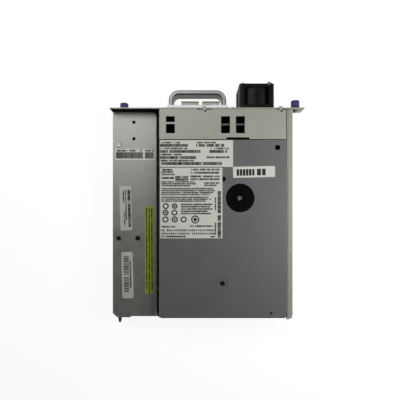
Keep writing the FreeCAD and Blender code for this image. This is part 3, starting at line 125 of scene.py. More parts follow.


# Finishes, each from what the real surface is, some with painted shade or a painted highlight as noted
finishes = {
    # cold rolled zinc sheet: satin grey, faint cloudy spangle, rolling lines front to back, drawn coarser than
    # the real fifth of a millimetre so that they show
    "galvanisedSheet": {"colour": "#9d9e98", "second": "#abaca6", "patch": 9.0, "grain": 0.9, "rough": (0.40, 0.50),
                        "stretch": (1.0, 0.06, 1.0), "depth": 0.02, "metallic": 0.75, "bump": 0.15},
    # zinc plate with a pale yellow passivation: warm satin grey, almost no grain; painted shade darkens it in folds,
    # slits and recesses
    "chromatedSheet": {"colour": "#b0b1a4", "second": "#b8b8ac", "patch": 14.0, "grain": 0.8, "rough": (0.42, 0.52),
                       "depth": 0.015, "metallic": 0.2, "bump": 0.12, "paintedFoldShade": (25.0, 0.08)},
    # grey electrocoat on steel: even cool grey with a soft sheen and a fine orange peel
    "electrocoatedSheet": {"colour": "#6d706e", "second": "#737674", "patch": 20.0, "grain": 1.2, "rough": (0.44, 0.52),
                           "depth": 0.012, "metallic": 0.1, "bump": 0.12},
    # satin steel strap, its colour painted by height: a bright painted highlight along the upper edge and dark painted
    # shade on the flanks
    "satinStrap": {"colour": "#b0b0ab", "second": "#bcbcb7", "patch": 7.0, "grain": 0.5, "stretch": (0.08, 0.08, 1.0),
                   "rough": (0.30, 0.40), "depth": 0.01, "metallic": 0.3, "bump": 0.15, "paintedShadeFlank": "#42403c",
                   "paintedHighlightTop": (30.78, 30.995), "extra": {"Specular IOR Level": 0.25}},
    # bead blasted casting with a pale clear coat: cool near-white, even and dull
    "blastedCasting": {"colour": "#f6fdfd", "second": "#fafefe", "patch": 6.0, "grain": 0.4, "rough": (0.45, 0.58),
                       "depth": 0.03, "metallic": 0.2, "bump": 0.3},
    # bright nickel plate on turned steel: small sharp highlights; painted shade darkens it in recesses
    "nickelPlate": {"colour": "#9c9c98", "second": "#b0b0ab", "patch": 2.0, "grain": 0.3, "rough": (0.26, 0.36),
                    "depth": 0.006, "metallic": 1.0, "bump": 0.15, "paintedFoldShade": (5.0, 0.15)},
    # bright zinc on the hub's screw and the fan's clip: small clear glint
    "brightZinc": {"colour": "#d2d2cf", "second": "#dededb", "patch": 2.0, "grain": 0.3, "rough": (0.20, 0.30),
                   "depth": 0.006, "metallic": 1.0, "bump": 0.15},
    # black oxide on steel: nearly black with an oily sheen
    "blackOxide": {"colour": "#1e1f1e", "second": "#2b2c2a", "patch": 1.5, "grain": 0.3, "rough": (0.30, 0.42),
                   "depth": 0.006, "metallic": 0.6, "bump": 0.15},
    # glass filled black polyester, spark eroded mould: matt black that greys on its lit faces
    "blackPolyester": {"colour": "#161716", "second": "#1d1e1d", "patch": 5.0, "grain": 0.35, "rough": (0.42, 0.55),
                       "depth": 0.03, "bump": 0.35, "extra": {"Specular IOR Level": 0.26}},
    # the same polyester from a polished mould, on the fan: deeper black with a fine grain
    "polishedPolyester": {"colour": "#0b0c0b", "second": "#121312", "patch": 5.0, "grain": 0.35, "rough": (0.38, 0.50),
                          "depth": 0.02, "bump": 0.25, "extra": {"Specular IOR Level": 0.18}},
    # black acetal disc, polished mould: deep black with one soft highlight
    "blackAcetal": {"colour": "#070707", "second": "#0c0c0c", "patch": 4.0, "grain": 0.4, "rough": (0.42, 0.52),
                    "depth": 0.01, "bump": 0.15, "extra": {"Specular IOR Level": 0.05}},
    # violet blue moulded knob: even colour, soft gloss
    "violetNylon": {"colour": "#3a3c76", "second": "#43447f", "patch": 3.0, "grain": 0.3, "rough": (0.36, 0.46),
                    "depth": 0.01, "bump": 0.2, "extra": {"Specular IOR Level": 0.3}},
    # turned brass: warm, fine rings from the tool
    "turnedBrass": {"colour": "#a98a4c", "second": "#bd9c5a", "patch": 2.0, "grain": 0.25, "rough": (0.25, 0.35),
                    "depth": 0.006, "metallic": 1.0, "bump": 0.15},
    # green solder mask over copper: glossy, darker where tracks run
    "solderMask": {"colour": "#12472b", "second": "#1b5a37", "patch": 2.5, "grain": 0.6, "rough": (0.26, 0.38),
                   "depth": 0.02, "bump": 0.3},
    # aluminium as cast: light grey with a dull pebbled skin
    "castAluminium": {"colour": "#8d8f8f", "second": "#a0a2a2", "patch": 4.0, "grain": 0.5, "rough": (0.42, 0.56),
                      "depth": 0.04, "metallic": 0.85, "bump": 0.4},
    # turned aluminium: clean and bright
    "turnedAluminium": {"colour": "#b2b4b6", "second": "#c3c5c7", "patch": 3.0, "grain": 0.25, "stretch": (1, 1, 6.0),
                        "rough": (0.22, 0.34), "depth": 0.006, "metallic": 1.0, "bump": 0.15},
    # smoke grey polycarbonate reel: smooth dark grey
    "greyPolycarbonate": {"colour": "#303234", "second": "#3a3c3e", "patch": 6.0, "grain": 0.4, "rough": (0.28, 0.38),
                          "depth": 0.008, "bump": 0.15},
    # plated motor can: dull silver
    "platedCan": {"colour": "#7f8180", "second": "#949694", "patch": 3.0, "grain": 0.4, "rough": (0.32, 0.44),
                  "depth": 0.01, "metallic": 0.9, "bump": 0.2},
    # lapped dark ceramic: smooth brown black
    "lappedCeramic": {"colour": "#211c19", "second": "#2a2420", "patch": 2.0, "grain": 0.3, "rough": (0.18, 0.28),
                      "depth": 0.004, "bump": 0.1},
    # ivory polyester housing of the cable sockets: warm off-white, slightly dull
    "ivoryPolyester": {"colour": "#b8b3a4", "second": "#c2bdae", "patch": 3.0, "grain": 0.35, "rough": (0.42, 0.54),
                       "depth": 0.02, "bump": 0.25},
    # matt label paper with a clear film: off-white, even
    "labelPaper": {"colour": "#e6e4db", "second": "#ecebe3", "patch": 11.0, "grain": 0.5, "rough": (0.40, 0.52),
                   "depth": 0.006, "bump": 0.15},
    # label with a silver backing: the same paper, greyer
    "silverLabel": {"colour": "#c8c8c3", "second": "#d0d0cb", "patch": 11.0, "grain": 0.5, "rough": (0.40, 0.52),
                    "depth": 0.006, "bump": 0.15},
    # yellow green vinyl strip: strong flat colour
    "limeVinyl": {"colour": "#9ab02d", "second": "#a2b833", "patch": 12.0, "grain": 0.5, "rough": (0.36, 0.46),
                  "depth": 0.006, "bump": 0.15},
    # dead black, no sheen: painted shade on the blocks and marks set where there is only shade, and the black strip
    # over the cartridge mouth
    "blackStripAndPaintedShade": {"colour": "#0a0a0a", "second": "#121212", "patch": 1.2, "grain": 0.4, "rough": (0.8, 0.95),
                  "depth": 0.05, "bump": 0.5, "extra": {"Specular IOR Level": 0.05}},
    # thermal print: dull black that lets a little paper through
    "thermalInk": {"colour": "#141413", "second": "#232321", "patch": 0.8, "grain": 0.2, "rough": (0.5, 0.62),
                   "depth": 0.002, "bump": 0.1},
    # gold flash on contact springs
    "goldFlash": {"colour": "#c39a45", "second": "#cfa955", "patch": 1.0, "grain": 0.2, "rough": (0.24, 0.34),
                  "depth": 0.004, "metallic": 1.0, "bump": 0.1},
}
materials = {name: makeFinish(name, look) for name, look in finishes.items()}
print("finishes made:", len(materials))

# Which finish each solid of the frame carries
slotFinish = {
    "zinc_sheet": "galvanisedSheet", "beige_sheet": "chromatedSheet", "grey_sheet": "electrocoatedSheet",
    "satin_steel": "satinStrap", "pale_casting": "blastedCasting", "bright_steel": "nickelPlate",
    "dark_steel": "blackOxide", "black_plastic": "blackPolyester", "black_disc": "blackAcetal",
    "blue_plastic": "violetNylon", "brass": "turnedBrass", "circuit_board": "solderMask",
    "cast_aluminium": "castAluminium", "turned_aluminium": "turnedAluminium", "reel_plastic": "greyPolycarbonate",
    "motor_steel": "platedCan", "ceramic_head": "lappedCeramic", "ivory_plastic": "ivoryPolyester",
}
# solids that differ from the rest of their slot
# the drive's screws are made black so that they stay dark in the gap beside the drive: painted shade
nodeFinish = {"drive_screws": "blackOxide", "hub_screw": "brightZinc", "fan_frame": "polishedPolyester"}
for row in frame["record"]["subparts"]:
    node = frame["nodes"][row["node"]]
    finish = nodeFinish.get(row["node"], slotFinish[row["material_slot"]])
    node.data.materials.clear()
    node.data.materials.append(materials[finish])
print("solids dressed")


# Printed marks: one tree lays out rows of small raised ink blocks, as a bar code or as rows of small print
def makePrintTree():
    tree = bpy.data.node_groups.new("inkMarks", "GeometryNodeTree")
    tree.interface.new_socket("Geometry", in_out="OUTPUT", socket_type="NodeSocketGeometry")
    sockets = {}
    for name, kind, value in (("Columns", "Int", 20), ("Pitch", "Float", 0.001), ("Mark Height", "Float", 0.001),
                              ("Least Width", "Float", 0.3), ("Most Width", "Float", 0.8),
                              ("Least Height", "Float", 1.0), ("Kept Share", "Float", 0.85),
                              ("Ink Height", "Float", 0.00002), ("Seed", "Int", 1)):
        socket = tree.interface.new_socket(name, in_out="INPUT", socket_type="NodeSocket" + kind)
        socket.default_value = value
        sockets[name] = socket.identifier
    ink = tree.interface.new_socket("Ink", in_out="INPUT", socket_type="NodeSocketMaterial")
    sockets["Ink"] = ink.identifier
    given = addNode(tree, "NodeGroupInput").outputs
    points = addNode(tree, "GeometryNodePoints", links={"Count": given["Columns"]})
    index = addNode(tree, "GeometryNodeInputIndex").outputs[0]
    across = addNode(tree, "ShaderNodeMath", links={0: index, 1: given["Pitch"]}, operation="MULTIPLY").outputs[0]
    spot = addNode(tree, "ShaderNodeCombineXYZ", links={"X": across}).outputs[0]
    placed = addNode(tree, "GeometryNodeSetPosition", links={"Geometry": points.outputs[0], "Position": spot})
    keep = addNode(tree, "FunctionNodeRandomValue", links={"Probability": given["Kept Share"], "Seed": given["Seed"]},
                   data_type="BOOLEAN")
    wide = addNode(tree, "FunctionNodeRandomValue", links={2: given["Least Width"], 3: given["Most Width"],
                                                          "Seed": given["Seed"]}, data_type="FLOAT").outputs[1]
    tall = addNode(tree, "FunctionNodeRandomValue", {3: 1.0}, {2: given["Least Height"], "Seed": given["Seed"]},
                   data_type="FLOAT").outputs[1]
    width = addNode(tree, "ShaderNodeMath", links={0: wide, 1: given["Pitch"]}, operation="MULTIPLY").outputs[0]
    height = addNode(tree, "ShaderNodeMath", links={0: tall, 1: given["Mark Height"]}, operation="MULTIPLY").outputs[0]
    size = addNode(tree, "ShaderNodeCombineXYZ", links={"X": width, "Y": height, "Z": given["Ink Height"]}).outputs[0]
    block = addNode(tree, "GeometryNodeMeshCube", {"Size": (1.0, 1.0, 1.0)})
    laid = addNode(tree, "GeometryNodeInstanceOnPoints", links={
        "Points": placed.outputs[0], "Selection": keep.outputs[3], "Instance": block.outputs[0], "Scale": size})
    real = addNode(tree, "GeometryNodeRealizeInstances", links={0: laid.outputs[0]})
    inked = addNode(tree, "GeometryNodeSetMaterial", links={"Geometry": real.outputs[0], "Material": given["Ink"]})
    addNode(tree, "NodeGroupOutput", links={0: inked.outputs[0]})
    return tree, sockets


printTree, printSockets = makePrintTree()


def evaluateTree(tree, sockets, values):
    # runs a tree on an empty mesh and gives back the plain mesh
    holder = bpy.data.objects.new("holder", bpy.data.meshes.new("holder"))
    bpy.context.scene.collection.objects.link(holder)
    modifier = holder.modifiers.new("layout", "NODES")
    modifier.node_group = tree
    for name, value in values.items():
        modifier[sockets[name]] = value
    bpy.context.view_layer.update()
    mesh = bpy.data.meshes.new_from_object(holder.evaluated_get(bpy.context.evaluated_depsgraph_get()))
    bpy.data.objects.remove(holder)
    return mesh


def toMesh(name, shape):
    mesh = bpy.data.meshes.new(name)
    shape.to_mesh(mesh)
    shape.free()
    return mesh


def finishPiece(name, mesh, body, material):
    # one finish, flat faces, riding on its body
    mesh.materials.clear()
    mesh.materials.append(material)
    for face in mesh.polygons:
        face.use_smooth = False
    piece = bpy.data.objects.new(name, mesh)
    bpy.context.scene.collection.objects.link(piece)
    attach(piece, body)


def stickerPlate(width, length, radius, thickness):
    # thin plate with rounded corners, the middle of its underside at the origin
    shape = bmesh.new()
    rim = []
    cornerSteps = 4
    for cornerX, cornerY, start in ((1, 1, 0), (-1, 1, 90), (-1, -1, 180), (1, -1, 270)):
        for step in range(cornerSteps + 1):
            angle = math.radians(start + step * 90 / cornerSteps)
            rim.append((cornerX * (width / 2 - radius) + radius * math.cos(angle),
                        cornerY * (length / 2 - radius) + radius * math.sin(angle)))
    lower, upper = ([shape.verts.new((x, y, level)) for x, y in rim] for level in (0, thickness))
    shape.faces.new(lower[::-1])
    shape.faces.new(upper)
    for i in range(len(rim)):
        j = (i + 1) % len(rim)
        shape.faces.new((lower[i], lower[j], upper[j], upper[i]))
    return shape


# Stickers on the drive and on the compartment, in millimetres. A print row is (X, Y, columns, pitch, height,
# kept share, kind), X and Y being its first mark's place from the sticker's middle. The kinds: code and bars for
# stripes, text for small marks, spaced for marks set wide, block for large ones; one that ends in Down runs along Y
paperThick = 0.12
inkHeight = 0.03
ringLine = 1.45
ringSteps = 24
dotSteps = 20
firstSeed = 3
kinds = {
    "code": {"wide": (0.7, 1.0), "tall": 1.0, "down": False},
    "codeDown": {"wide": (0.7, 1.0), "tall": 1.0, "down": True},
    "text": {"wide": (0.68, 1.0), "tall": 0.8, "down": False},
    "textDown": {"wide": (0.68, 1.0), "tall": 0.8, "down": True},
    "barsDown": {"wide": (0.4, 0.72), "tall": 1.0, "down": True},
    "block": {"wide": (0.7, 0.85), "tall": 1.0, "down": False},
    "spaced": {"wide": (0.5, 0.75), "tall": 0.85, "down": False},
}
stickers = {
    "identityLabel": {"centre": (-11.9, 59.35), "size": (83.4, 30.5), "corner": 0.6, "turn": 0.0,
                      "on": "drive_top_cover", "paper": "labelPaper", "print": [
        (-40.4, 12.5, 21, 1.05, 2.03, 0.87, "text"), (0.9, 12.5, 21, 1.05, 2.03, 0.87, "text"),
        (-40.9, 9.3, 25, 1.28, 3.32, 0.93, "code"), (0.2, 9.3, 25, 1.28, 3.32, 0.93, "code"),
        (-40.4, 5.8, 29, 1.05, 2.03, 0.87, "text"), (15.4, 5.8, 21, 1.05, 2.03, 0.81, "text"),
        (-40.9, 2.4, 36, 1.28, 3.32, 0.93, "code"), (15.2, 2.4, 16, 1.28, 3.32, 0.93, "code"),
        (-40.4, -1.2, 23, 1.05, 2.03, 0.87, "text"), (12.0, -4.3, 24, 1.08, 2.43, 0.85, "text"),
        (-40.9, -4.6, 32, 1.28, 3.32, 0.93, "code"), (-40.4, -8.1, 36, 1.05, 2.03, 0.87, "text"),
        (-40.9, -11.4, 55, 1.28, 3.43, 0.93, "code"),
    ]},
    "ratingLabel": {"centre": (-17.9, 2.8), "size": (71.2, 80.6), "corner": 0.8, "turn": 0.0, "on": "drive_top_cover",
                    "paper": "labelPaper", "rings": [
        (-29.2, -3.5, 7.0), (-19.0, -3.5, 6.4), (-29.4, -11.0, 7.0), (-19.2, -11.0, 6.8), (-29.5, -18.8, 7.2),
        (-18.9, -18.8, 7.2), (-8.7, -18.8, 7.0), (4.5, -18.8, 9.4)], "dots": [
        (-29.4, -11.0, 2.6), (-18.9, -18.8, 2.4), (-19.0, -3.5, 2.4), (4.5, -18.8, 4.2)], "print": [
        (-33.6, 38.0, 14, 0.98, 2.3, 0.97, "text"), (-33.6, 35.4, 14, 0.98, 2.3, 0.97, "text"),
        (-33.6, 32.6, 17, 0.9, 1.75, 0.93, "text"), (0.4, 38.2, 31, 1.05, 2.43, 0.91, "text"),
        (0.4, 34.6, 30, 1.05, 2.43, 0.91, "text"), (-33.6, 28.6, 15, 0.95, 2.43, 0.97, "text"),
        (-17.8, 29.6, 14, 1.05, 2.98, 0.97, "text"), (-17.8, 26.8, 14, 1.05, 2.7, 0.97, "text"),
        (-0.6, 30.4, 32, 1.05, 2.3, 0.91, "text"), (-0.6, 27.2, 32, 1.05, 2.3, 0.87, "text"),
        (-33.6, 24.2, 42, 0.9, 1.75, 0.97, "text"), (-33.6, 22.0, 44, 0.9, 1.75, 0.97, "text"),
        (-33.6, 19.8, 38, 0.9, 1.75, 0.97, "text"), (15.2, 22.8, 18, 0.95, 2.1, 0.95, "text"),
        (15.2, 20.2, 15, 0.95, 2.1, 0.95, "text"), (-33.6, 16.4, 66, 0.9, 1.75, 0.97, "text"),
        (-33.6, 14.2, 68, 0.9, 1.75, 0.97, "text"), (-33.6, 12.0, 66, 0.9, 1.75, 0.97, "text"),
        (-33.6, 9.8, 62, 0.9, 1.75, 0.97, "text"), (-33.6, 6.6, 60, 0.9, 1.75, 0.97, "text"),
        (-33.6, 4.4, 63, 0.9, 1.75, 0.97, "text"), (-33.6, 2.2, 56, 0.9, 1.75, 0.97, "text"),
        (-11.4, -1.6, 40, 0.9, 1.89, 0.97, "text"), (-11.4, -4.2, 37, 0.9, 1.89, 0.97, "text"),
        (-11.4, -6.8, 40, 0.9, 1.89, 0.97, "text"), (-11.4, -9.4, 34, 0.9, 1.89, 0.97, "text"),
        (-11.4, -12.0, 38, 0.9, 1.89, 0.97, "text"), (-33.6, -27.0, 16, 0.98, 2.03, 0.87, "text"),
        (-1.0, -26.4, 28, 0.98, 2.03, 0.97, "text"), (-33.6, -31.2, 28, 2.2, 2.3, 0.95, "spaced"),
        (-33.6, -34.9, 28, 2.2, 2.3, 0.95, "spaced"), (-33.6, -38.2, 24, 1.2, 2.16, 0.91, "text"),
        (22.4, -38.4, 6, 0.98, 1.89, 0.97, "text"), (32.0, 13.2, 20, 1.28, 3.9, 0.98, "codeDown"),
        (32.0, -14.6, 20, 1.28, 3.9, 0.98, "codeDown"), (27.6, 6.0, 15, 0.98, 1.88, 0.95, "textDown"),
        (27.6, -23.0, 14, 0.98, 1.88, 0.95, "textDown"),
    ]},
    "statusSticker": {"centre": (53.8, 38.4), "size": (48.0, 12.6), "corner": 0.5, "turn": 1.2, "on": "drive_top_cover",
                      "paper": "labelPaper", "print": [
        (-18.4, -0.4, 6, 3.5, 7.4, 1.0, "block"), (5.6, -0.4, 2, 5.6, 7.4, 1.0, "block"),
    ]},
    "compartmentLabel": {"centre": (-84.4, 60.0), "size": (46.8, 13.0), "corner": 0.5, "turn": 0.0, "on": "side_cover",
                         "paper": "labelPaper", "dots": [(6.8, 4.9, 2.3)], "print": [
        (-22.0, 4.5, 22, 1.05, 2.16, 0.91, "text"), (12.4, 4.5, 10, 1.05, 2.16, 0.91, "text"),
        (-22.0, -1.0, 25, 1.28, 7.32, 0.98, "code"), (12.4, -1.0, 8, 1.28, 7.32, 0.98, "code"),
    ]},
    "serialLabel": {"centre": (-95.5, -3.1), "size": (13.6, 52.4), "corner": 0.5, "turn": 1.7, "on": "side_cover",
                    "paper": "silverLabel", "print": [
        (4.2, 22.0, 35, 1.28, 3.21, 0.94, "codeDown"), (0.4, 21.0, 36, 1.0, 1.62, 0.93, "textDown"),
        (-2.2, 20.0, 14, 1.0, 1.75, 0.93, "textDown"), (-1.6, -4.0, 18, 1.0, 1.75, 0.91, "textDown"),
    ]},
    "roundedLabel": {"centre": (-93.4, -82.1), "size": (13.3, 54.6), "corner": 2.0, "turn": 1.2, "on": "side_cover",
                     "paper": "silverLabel", "thick": 0.14, "print": [
        (-1.2, 23.4, 24, 1.85, 6.18, 0.97, "barsDown"), (3.6, 16.0, 32, 1.0, 1.88, 0.95, "textDown"),
    ]},
    "limeStrip": {"centre": (-67.7, -52.2), "size": (10.6, 102.6), "corner": 0.5, "turn": 0.4, "on": "side_cover",
                  "paper": "limeVinyl", "print": [
        (3.1, 49.4, 94, 1.05, 1.7, 0.95, "textDown"), (0.0, 49.4, 96, 1.05, 1.7, 0.95, "textDown"),
        (-3.1, 49.4, 92, 1.05, 1.7, 0.95, "textDown"),
    ]},
}


def layPrint(shape, row, top, seed):
    # one row of marks, laid from its left end, turned a quarter where it runs down the sticker
    left, high, columns, pitch, height, kept, word = row
    kind = kinds[word]
    mesh = evaluateTree(printTree, printSockets, {
        "Columns": columns, "Pitch": pitch * mm, "Mark Height": height * mm, "Least Width": kind["wide"][0],
        "Most Width": kind["wide"][1], "Least Height": kind["tall"], "Kept Share": kept, "Ink Height": inkHeight * mm,
        "Seed": seed, "Ink": materials["thermalInk"]})
    turn = Matrix.Rotation(math.radians(-90 if kind["down"] else 0), 4, "Z")
    mesh.transform(Matrix.Translation((left * mm, high * mm, top)) @ turn)
    shape.from_mesh(mesh)
    bpy.data.meshes.remove(mesh)


def layRing(shape, across, high, size, top, line=ringLine, thick=inkHeight):
    # plain ring: thin as print on a label, thicker as the fan's clip
    outer, inner = size / 2, size / 2 - line
    turns = [2 * math.pi * i / ringSteps for i in range(ringSteps)]
    rows = []
    for radius, level in ((outer, top), (outer, top + thick * mm), (inner, top + thick * mm), (inner, top)):
        rows.append([shape.verts.new(((across + radius * math.cos(turn)) * mm,
                                      (high + radius * math.sin(turn)) * mm, level)) for turn in turns])
    for near, far in zip(rows, rows[1:] + rows[:1]):
        for i in range(ringSteps):
            j = (i + 1) % ringSteps
            shape.faces.new((near[i], near[j], far[j], far[i]))


def layDot(shape, across, high, size, top):
    # plain round dot of ink
    place = Matrix.Translation((across * mm, high * mm, top + inkHeight / 2 * mm))
    bmesh.ops.create_cone(shape, cap_ends=True, segments=dotSteps, radius1=size / 2 * mm, radius2=size / 2 * mm,
                          depth=inkHeight * mm, matrix=place)


def makeSticker(name, look):
    # the plate lies on the cover that it is stuck to, its marks on the plate
    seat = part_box(look["on"])[1][2]
    place = Matrix.Translation((look["centre"][0] * mm, look["centre"][1] * mm, seat)) @ \
        Matrix.Rotation(math.radians(look["turn"]), 4, "Z")
    width, length = look["size"]
    thick = look.get("thick", paperThick) * mm
    plate = stickerPlate(width * mm, length * mm, look["corner"] * mm, thick)
    plate.transform(place)
    finishPiece(name, toMesh(name, plate), "sled", materials[look["paper"]])
    marks = bmesh.new()
    for index, row in enumerate(look["print"]):
        layPrint(marks, row, thick, index + firstSeed)
    for across, high, size in look.get("rings", ()):
        layRing(marks, across, high, size, thick)
    for across, high, size in look.get("dots", ()):
        layDot(marks, across, high, size, thick)
    marks.transform(place)
    printName = name + "Print"
    finishPiece(printName, toMesh(printName, marks), "sled", materials["thermalInk"])


for name, look in stickers.items():
    makeSticker(name, look)
print("stickers laid:", len(stickers))


# Black blocks, (low corner, high corner) in mm. Painted shade, dark pieces set where there is only shade: on the
# panel's face above the compartment, on the compartment's inner wall and at the front end of the gap beside the drive,
# on the floor under the rear cover, in the notches of the rear cover and in the holes and slots of its tabs. Besides
# these, a black strip over the cartridge mouth
blackStripAndPaintedShadeBlocks = {
    "paintedShadePanel": ((-110.2, 109.6, 31.8), (-55.6, 110.6, 42.6)),
    "paintedShadeWall": ((-58.2, -130.6, 8.0), (-57.85, 109.4, 30.2)),
    "paintedShadeGapEnd": ((-57.8, -131.0, 18.0), (-55.3, -120.0, 30.0)),
    "mouthLip": ((-53.0, -128.7, 39.4), (89.0, -127.9, 42.2)),
    "paintedShadeBay": ((-54.0, 76.2, 1.0), (90.0, 109.4, 1.25)),
    "paintedShadeNotchA": ((-11.4, 109.65, 40.0), (-4.8, 110.6, 42.38)),
    "paintedShadeNotchB": ((-0.6, 109.65, 40.0), (6.0, 110.6, 42.38)),
    "paintedShadeNotchC": ((79.0, 109.65, 40.0), (82.3, 110.6, 42.38)),
    "paintedShadeNotchD": ((86.5, 109.65, 40.0), (89.8, 110.6, 42.38)),
    "paintedShadeTabHoleA": ((-2.75, 106.9, 42.3), (-0.95, 107.95, 42.44)),
    "paintedShadeTabSlotA": ((-2.75, 108.02, 42.9), (-0.95, 108.9, 43.04)),
    "paintedShadeTabHoleB": ((84.35, 106.9, 42.3), (86.15, 107.95, 42.44)),
    "paintedShadeTabSlotB": ((84.35, 108.02, 42.9), (86.15, 108.9, 43.04)),
}


def makeBlock(name, low, high):
    shape = bmesh.new()
    bmesh.ops.create_cube(shape, size=1.0)
    size = [(b - a) * mm for a, b in zip(low, high)]
    middle = [(a + b) / 2 * mm for a, b in zip(low, high)]
    shape.transform(Matrix.Translation(middle) @ Matrix.Diagonal((*size, 1.0)))
    return toMesh(name, shape)


# lays the black blocks: painted shade, and the strip over the cartridge mouth
for name, (low, high) in blackStripAndPaintedShadeBlocks.items():
    finishPiece(name, makeBlock(name, low, high), "sled", materials["blackStripAndPaintedShade"])
print("foam laid:", len(blackStripAndPaintedShadeBlocks))

# Hem of the rail's sheet that closes the slit beside the drive, millimetres
railHem = {"low": (91.02, -122.8, 38.5), "high": (91.28, 110.4, 41.95)}
finishPiece("railHem", makeBlock("railHem", railHem["low"], railHem["high"]), "sled",
            materials["chromatedSheet"])
print("rail hem laid")

# Round label on the fan's boss: a plain silver disc with two lines of marks, millimetres
fanLabel = {"centre": (57.3, 21.5), "radius": 8.0, "thick": 0.12, "steps": 40,
            "print": [(-4.2, 2.6, 8, 1.05, 1.3, 1.0, "text"), (-5.2, -2.6, 10, 1.05, 1.3, 1.0, "text")]}


def makeFanLabel():
    # laid out flat, then turned up against the rear face of the fan
    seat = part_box("fan_frame")[1][1]
    stand = Matrix.Translation((fanLabel["centre"][0] * mm, seat, fanLabel["centre"][1] * mm)) @ \
        Matrix.Rotation(math.radians(180), 4, "Z") @ Matrix.Rotation(math.radians(90), 4, "X")
    disc = bmesh.new()
    bmesh.ops.create_cone(disc, cap_ends=True, segments=fanLabel["steps"], radius1=fanLabel["radius"] * mm,
                          radius2=fanLabel["radius"] * mm, depth=fanLabel["thick"] * mm,
                          matrix=Matrix.Translation((0, 0, fanLabel["thick"] / 2 * mm)))
    marks = bmesh.new()
    for index, row in enumerate(fanLabel["print"]):
        layPrint(marks, row, fanLabel["thick"] * mm, index + firstSeed)
    for name, shape, slot, finish in (("fanLabel", disc, "label_paper", "silverLabel"),
                                      ("fanLabelPrint", marks, "label_ink", "thermalInk")):
        shape.transform(stand)
        finishPiece(name, toMesh(name, shape), "sled", materials[finish])


makeFanLabel()
print("fan label laid")

# Small clip on the fan's upper rear edge: a flat oval loop, millimetres
fanClip = {"centre": (70.9, 139.65), "size": 3.4, "stretch": 1.4, "line": 0.9, "thick": 0.8}


def makeFanClip():
    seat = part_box("fan_frame")[1][2]
    loop = bmesh.new()
    layRing(loop, 0.0, 0.0, fanClip["size"], 0.0, fanClip["line"], fanClip["thick"])
    loop.transform(Matrix.Translation((fanClip["centre"][0] * mm, fanClip["centre"][1] * mm, seat)) @
                   Matrix.Diagonal((fanClip["stretch"], 1.0, 1.0, 1.0)))
    finishPiece("fanClip", toMesh("fanClip", loop), "sled", materials["brightZinc"])


makeFanClip()
print("fan clip laid")

# Gold contacts on the tongues of the connectors, and dark marks on the tops of the cable sockets that paint the shade
# in their slots, millimetres:
# rows of (first X, middle Y, foot Z), count, pitch, share of the pitch, length and thickness
contacts = {
    "dockContacts": {"rows": [(-95.3, -125.9, 15.4)], "count": 26, "pitch": 1.14, "share": 0.55, "length": 4.2,
                     "thick": 0.16, "slot": "gold_contact", "finish": "goldFlash"},
    "socketContacts": {"rows": [(-26.35, 116.0, 27.8), (-1.95, 116.0, 27.8)], "count": 10, "pitch": 1.5, "share": 0.5,
                       "length": 6.8, "thick": 0.16, "slot": "gold_contact", "finish": "goldFlash"},
    "paintedShadeSocketSlots": {"rows": [(-28.4, 120.9, 33.0), (-4.0, 120.9, 33.0)], "count": 9, "pitch": 2.2, "share": 0.5,
                    "length": 1.5, "thick": 0.06, "slot": "black_plastic", "finish": "blackStripAndPaintedShade"},
}


def makeContacts(name, look):
    shape = bmesh.new()
    for first, along, foot in look["rows"]:
        mesh = evaluateTree(printTree, printSockets, {
            "Columns": look["count"], "Pitch": look["pitch"] * mm, "Mark Height": look["length"] * mm,
            "Least Width": look["share"], "Most Width": look["share"], "Least Height": 1.0, "Kept Share": 1.0,
            "Ink Height": look["thick"] * mm, "Seed": 1, "Ink": materials[look["finish"]]})
        mesh.transform(Matrix.Translation((first * mm, along * mm, (foot + look["thick"] / 2) * mm)))
        shape.from_mesh(mesh)
        bpy.data.meshes.remove(mesh)
    finishPiece(name, toMesh(name, shape), "sled", materials[look["finish"]])


for name, look in contacts.items():
    makeContacts(name, look)
print("contacts laid:", len(contacts))


# Floor, light and camera
studio = {"floorRadius": 3.0, "wallHeight": 2.4, "wallSteps": 48, "floorColour": "#8a8a88", "floorRough": 0.9,
          "floorGlow": 0.88, "wallGlow": 1.0, "worldStrength": 0.05,
          "lamps": {"sideSoftbox": {"at": (0.32, 0.0, 0.32), "aim": (0.06, 0.0, 0.0), "size": 0.26, "power": 0.95},
                    "rearSoftbox": {"at": (-0.22, 0.31, 0.45), "aim": (-0.05, 0.12, 0.0), "size": 0.40, "power": 1.2}}}


def makePaper(name, glow):
    # white paper that stays pale to the eye and in reflections, and still takes the shadow
    paper = bpy.data.materials.new(name)
    paper.use_nodes = True
    tree = paper.node_tree
    tree.nodes.clear()
    out = addNode(tree, "ShaderNodeOutputMaterial")
    rays = addNode(tree, "ShaderNodeLightPath").outputs
    seen = addNode(tree, "ShaderNodeMath", links={0: rays["Is Camera Ray"], 1: rays["Is Glossy Ray"]},
                   operation="MAXIMUM").outputs[0]
    seen = addNode(tree, "ShaderNodeMath", links={0: seen, 1: rays["Is Transmission Ray"]},
                   operation="MAXIMUM").outputs[0]
    lit = addNode(tree, "ShaderNodeMath", {1: glow}, {0: seen}, operation="MULTIPLY")
    skin = addNode(tree, "ShaderNodeBsdfPrincipled",
                   {"Base Color": toLinear(studio["floorColour"]), "Roughness": studio["floorRough"],
                    "Emission Color": (1.0, 1.0, 1.0, 1.0)}, {"Emission Strength": lit.outputs[0]})
    tree.links.new(skin.outputs["BSDF"], out.inputs["Surface"])
    return paper


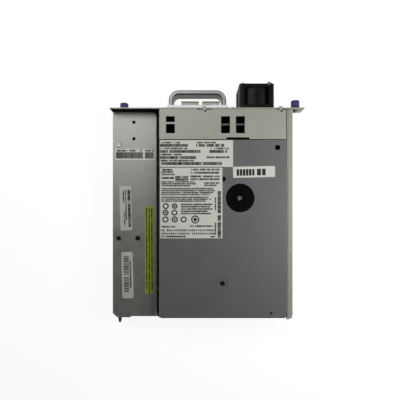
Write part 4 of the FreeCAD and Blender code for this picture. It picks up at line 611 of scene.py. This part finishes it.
def makeStage():
    # round floor and the wall of paper that stands round it
    steps, radius = studio["wallSteps"], studio["floorRadius"]
    turns = [2 * math.pi * i / steps for i in range(steps)]
    rim = [(radius * math.cos(turn), radius * math.sin(turn)) for turn in turns]
    for name, points, faces, glow in (
            ("studioFloor", [(x, y, 0) for x, y in rim], [tuple(range(steps))], studio["floorGlow"]),
            ("studioWall", [(x, y, z) for z in (0, studio["wallHeight"]) for x, y in rim],
             [((i + 1) % steps, i, i + steps, (i + 1) % steps + steps) for i in range(steps)], studio["wallGlow"])):
        mesh = bpy.data.meshes.new(name)
        mesh.from_pydata(points, [], faces)
        mesh.materials.append(makePaper(name + "Paper", glow))
        stage = bpy.data.objects.new(name, mesh)
        bpy.context.scene.collection.objects.link(stage)


def makeLamp(name, at, size, power, target):
    lamp = bpy.data.lights.new(name, "AREA")
    lamp.shape = "SQUARE"
    lamp.size = size
    lamp.energy = power
    holder = bpy.data.objects.new(name, lamp)
    holder.location = at
    holder.rotation_euler = (Vector(target) - Vector(at)).to_track_quat("-Z", "Y").to_euler()
    bpy.context.scene.collection.objects.link(holder)


def makeWorld():
    world = bpy.data.worlds.new("studioRoom")
    world.use_nodes = True
    tree = world.node_tree
    tree.nodes.clear()
    out = addNode(tree, "ShaderNodeOutputWorld")
    sky = addNode(tree, "ShaderNodeBackground", {"Color": (1.0, 1.0, 1.0, 1.0), "Strength": studio["worldStrength"]})
    tree.links.new(sky.outputs["Background"], out.inputs["Surface"])
    bpy.context.scene.world = world


# The photograph looks straight down, as a camera that isn't turned does; its frame is 400 pixels square
view = {"at": (-0.0068, 0.0017, 0.424), "focalPixels": 334.0, "middle": (201.0, 204.0), "pixels": 400.0,
        "sensor": 36.0, "nearest": 0.01}


def makeCamera():
    lens = bpy.data.cameras.new("photoView")
    lens.sensor_width = view["sensor"]
    lens.lens = view["focalPixels"] / view["pixels"] * view["sensor"]
    half = view["pixels"] / 2
    lens.shift_x = (half - view["middle"][0]) / view["pixels"]
    lens.shift_y = (view["middle"][1] - half) / view["pixels"]
    lens.clip_start = view["nearest"]
    camera = bpy.data.objects.new("photoView", lens)
    camera.location = view["at"]
    bpy.context.scene.collection.objects.link(camera)
    bpy.context.scene.camera = camera


makeStage()
for name, lamp in studio["lamps"].items():
    makeLamp(name, lamp["at"], lamp["size"], lamp["power"], lamp["aim"])
makeWorld()
makeCamera()
bpy.context.scene.view_settings.view_transform = "Standard"
print("studio set")
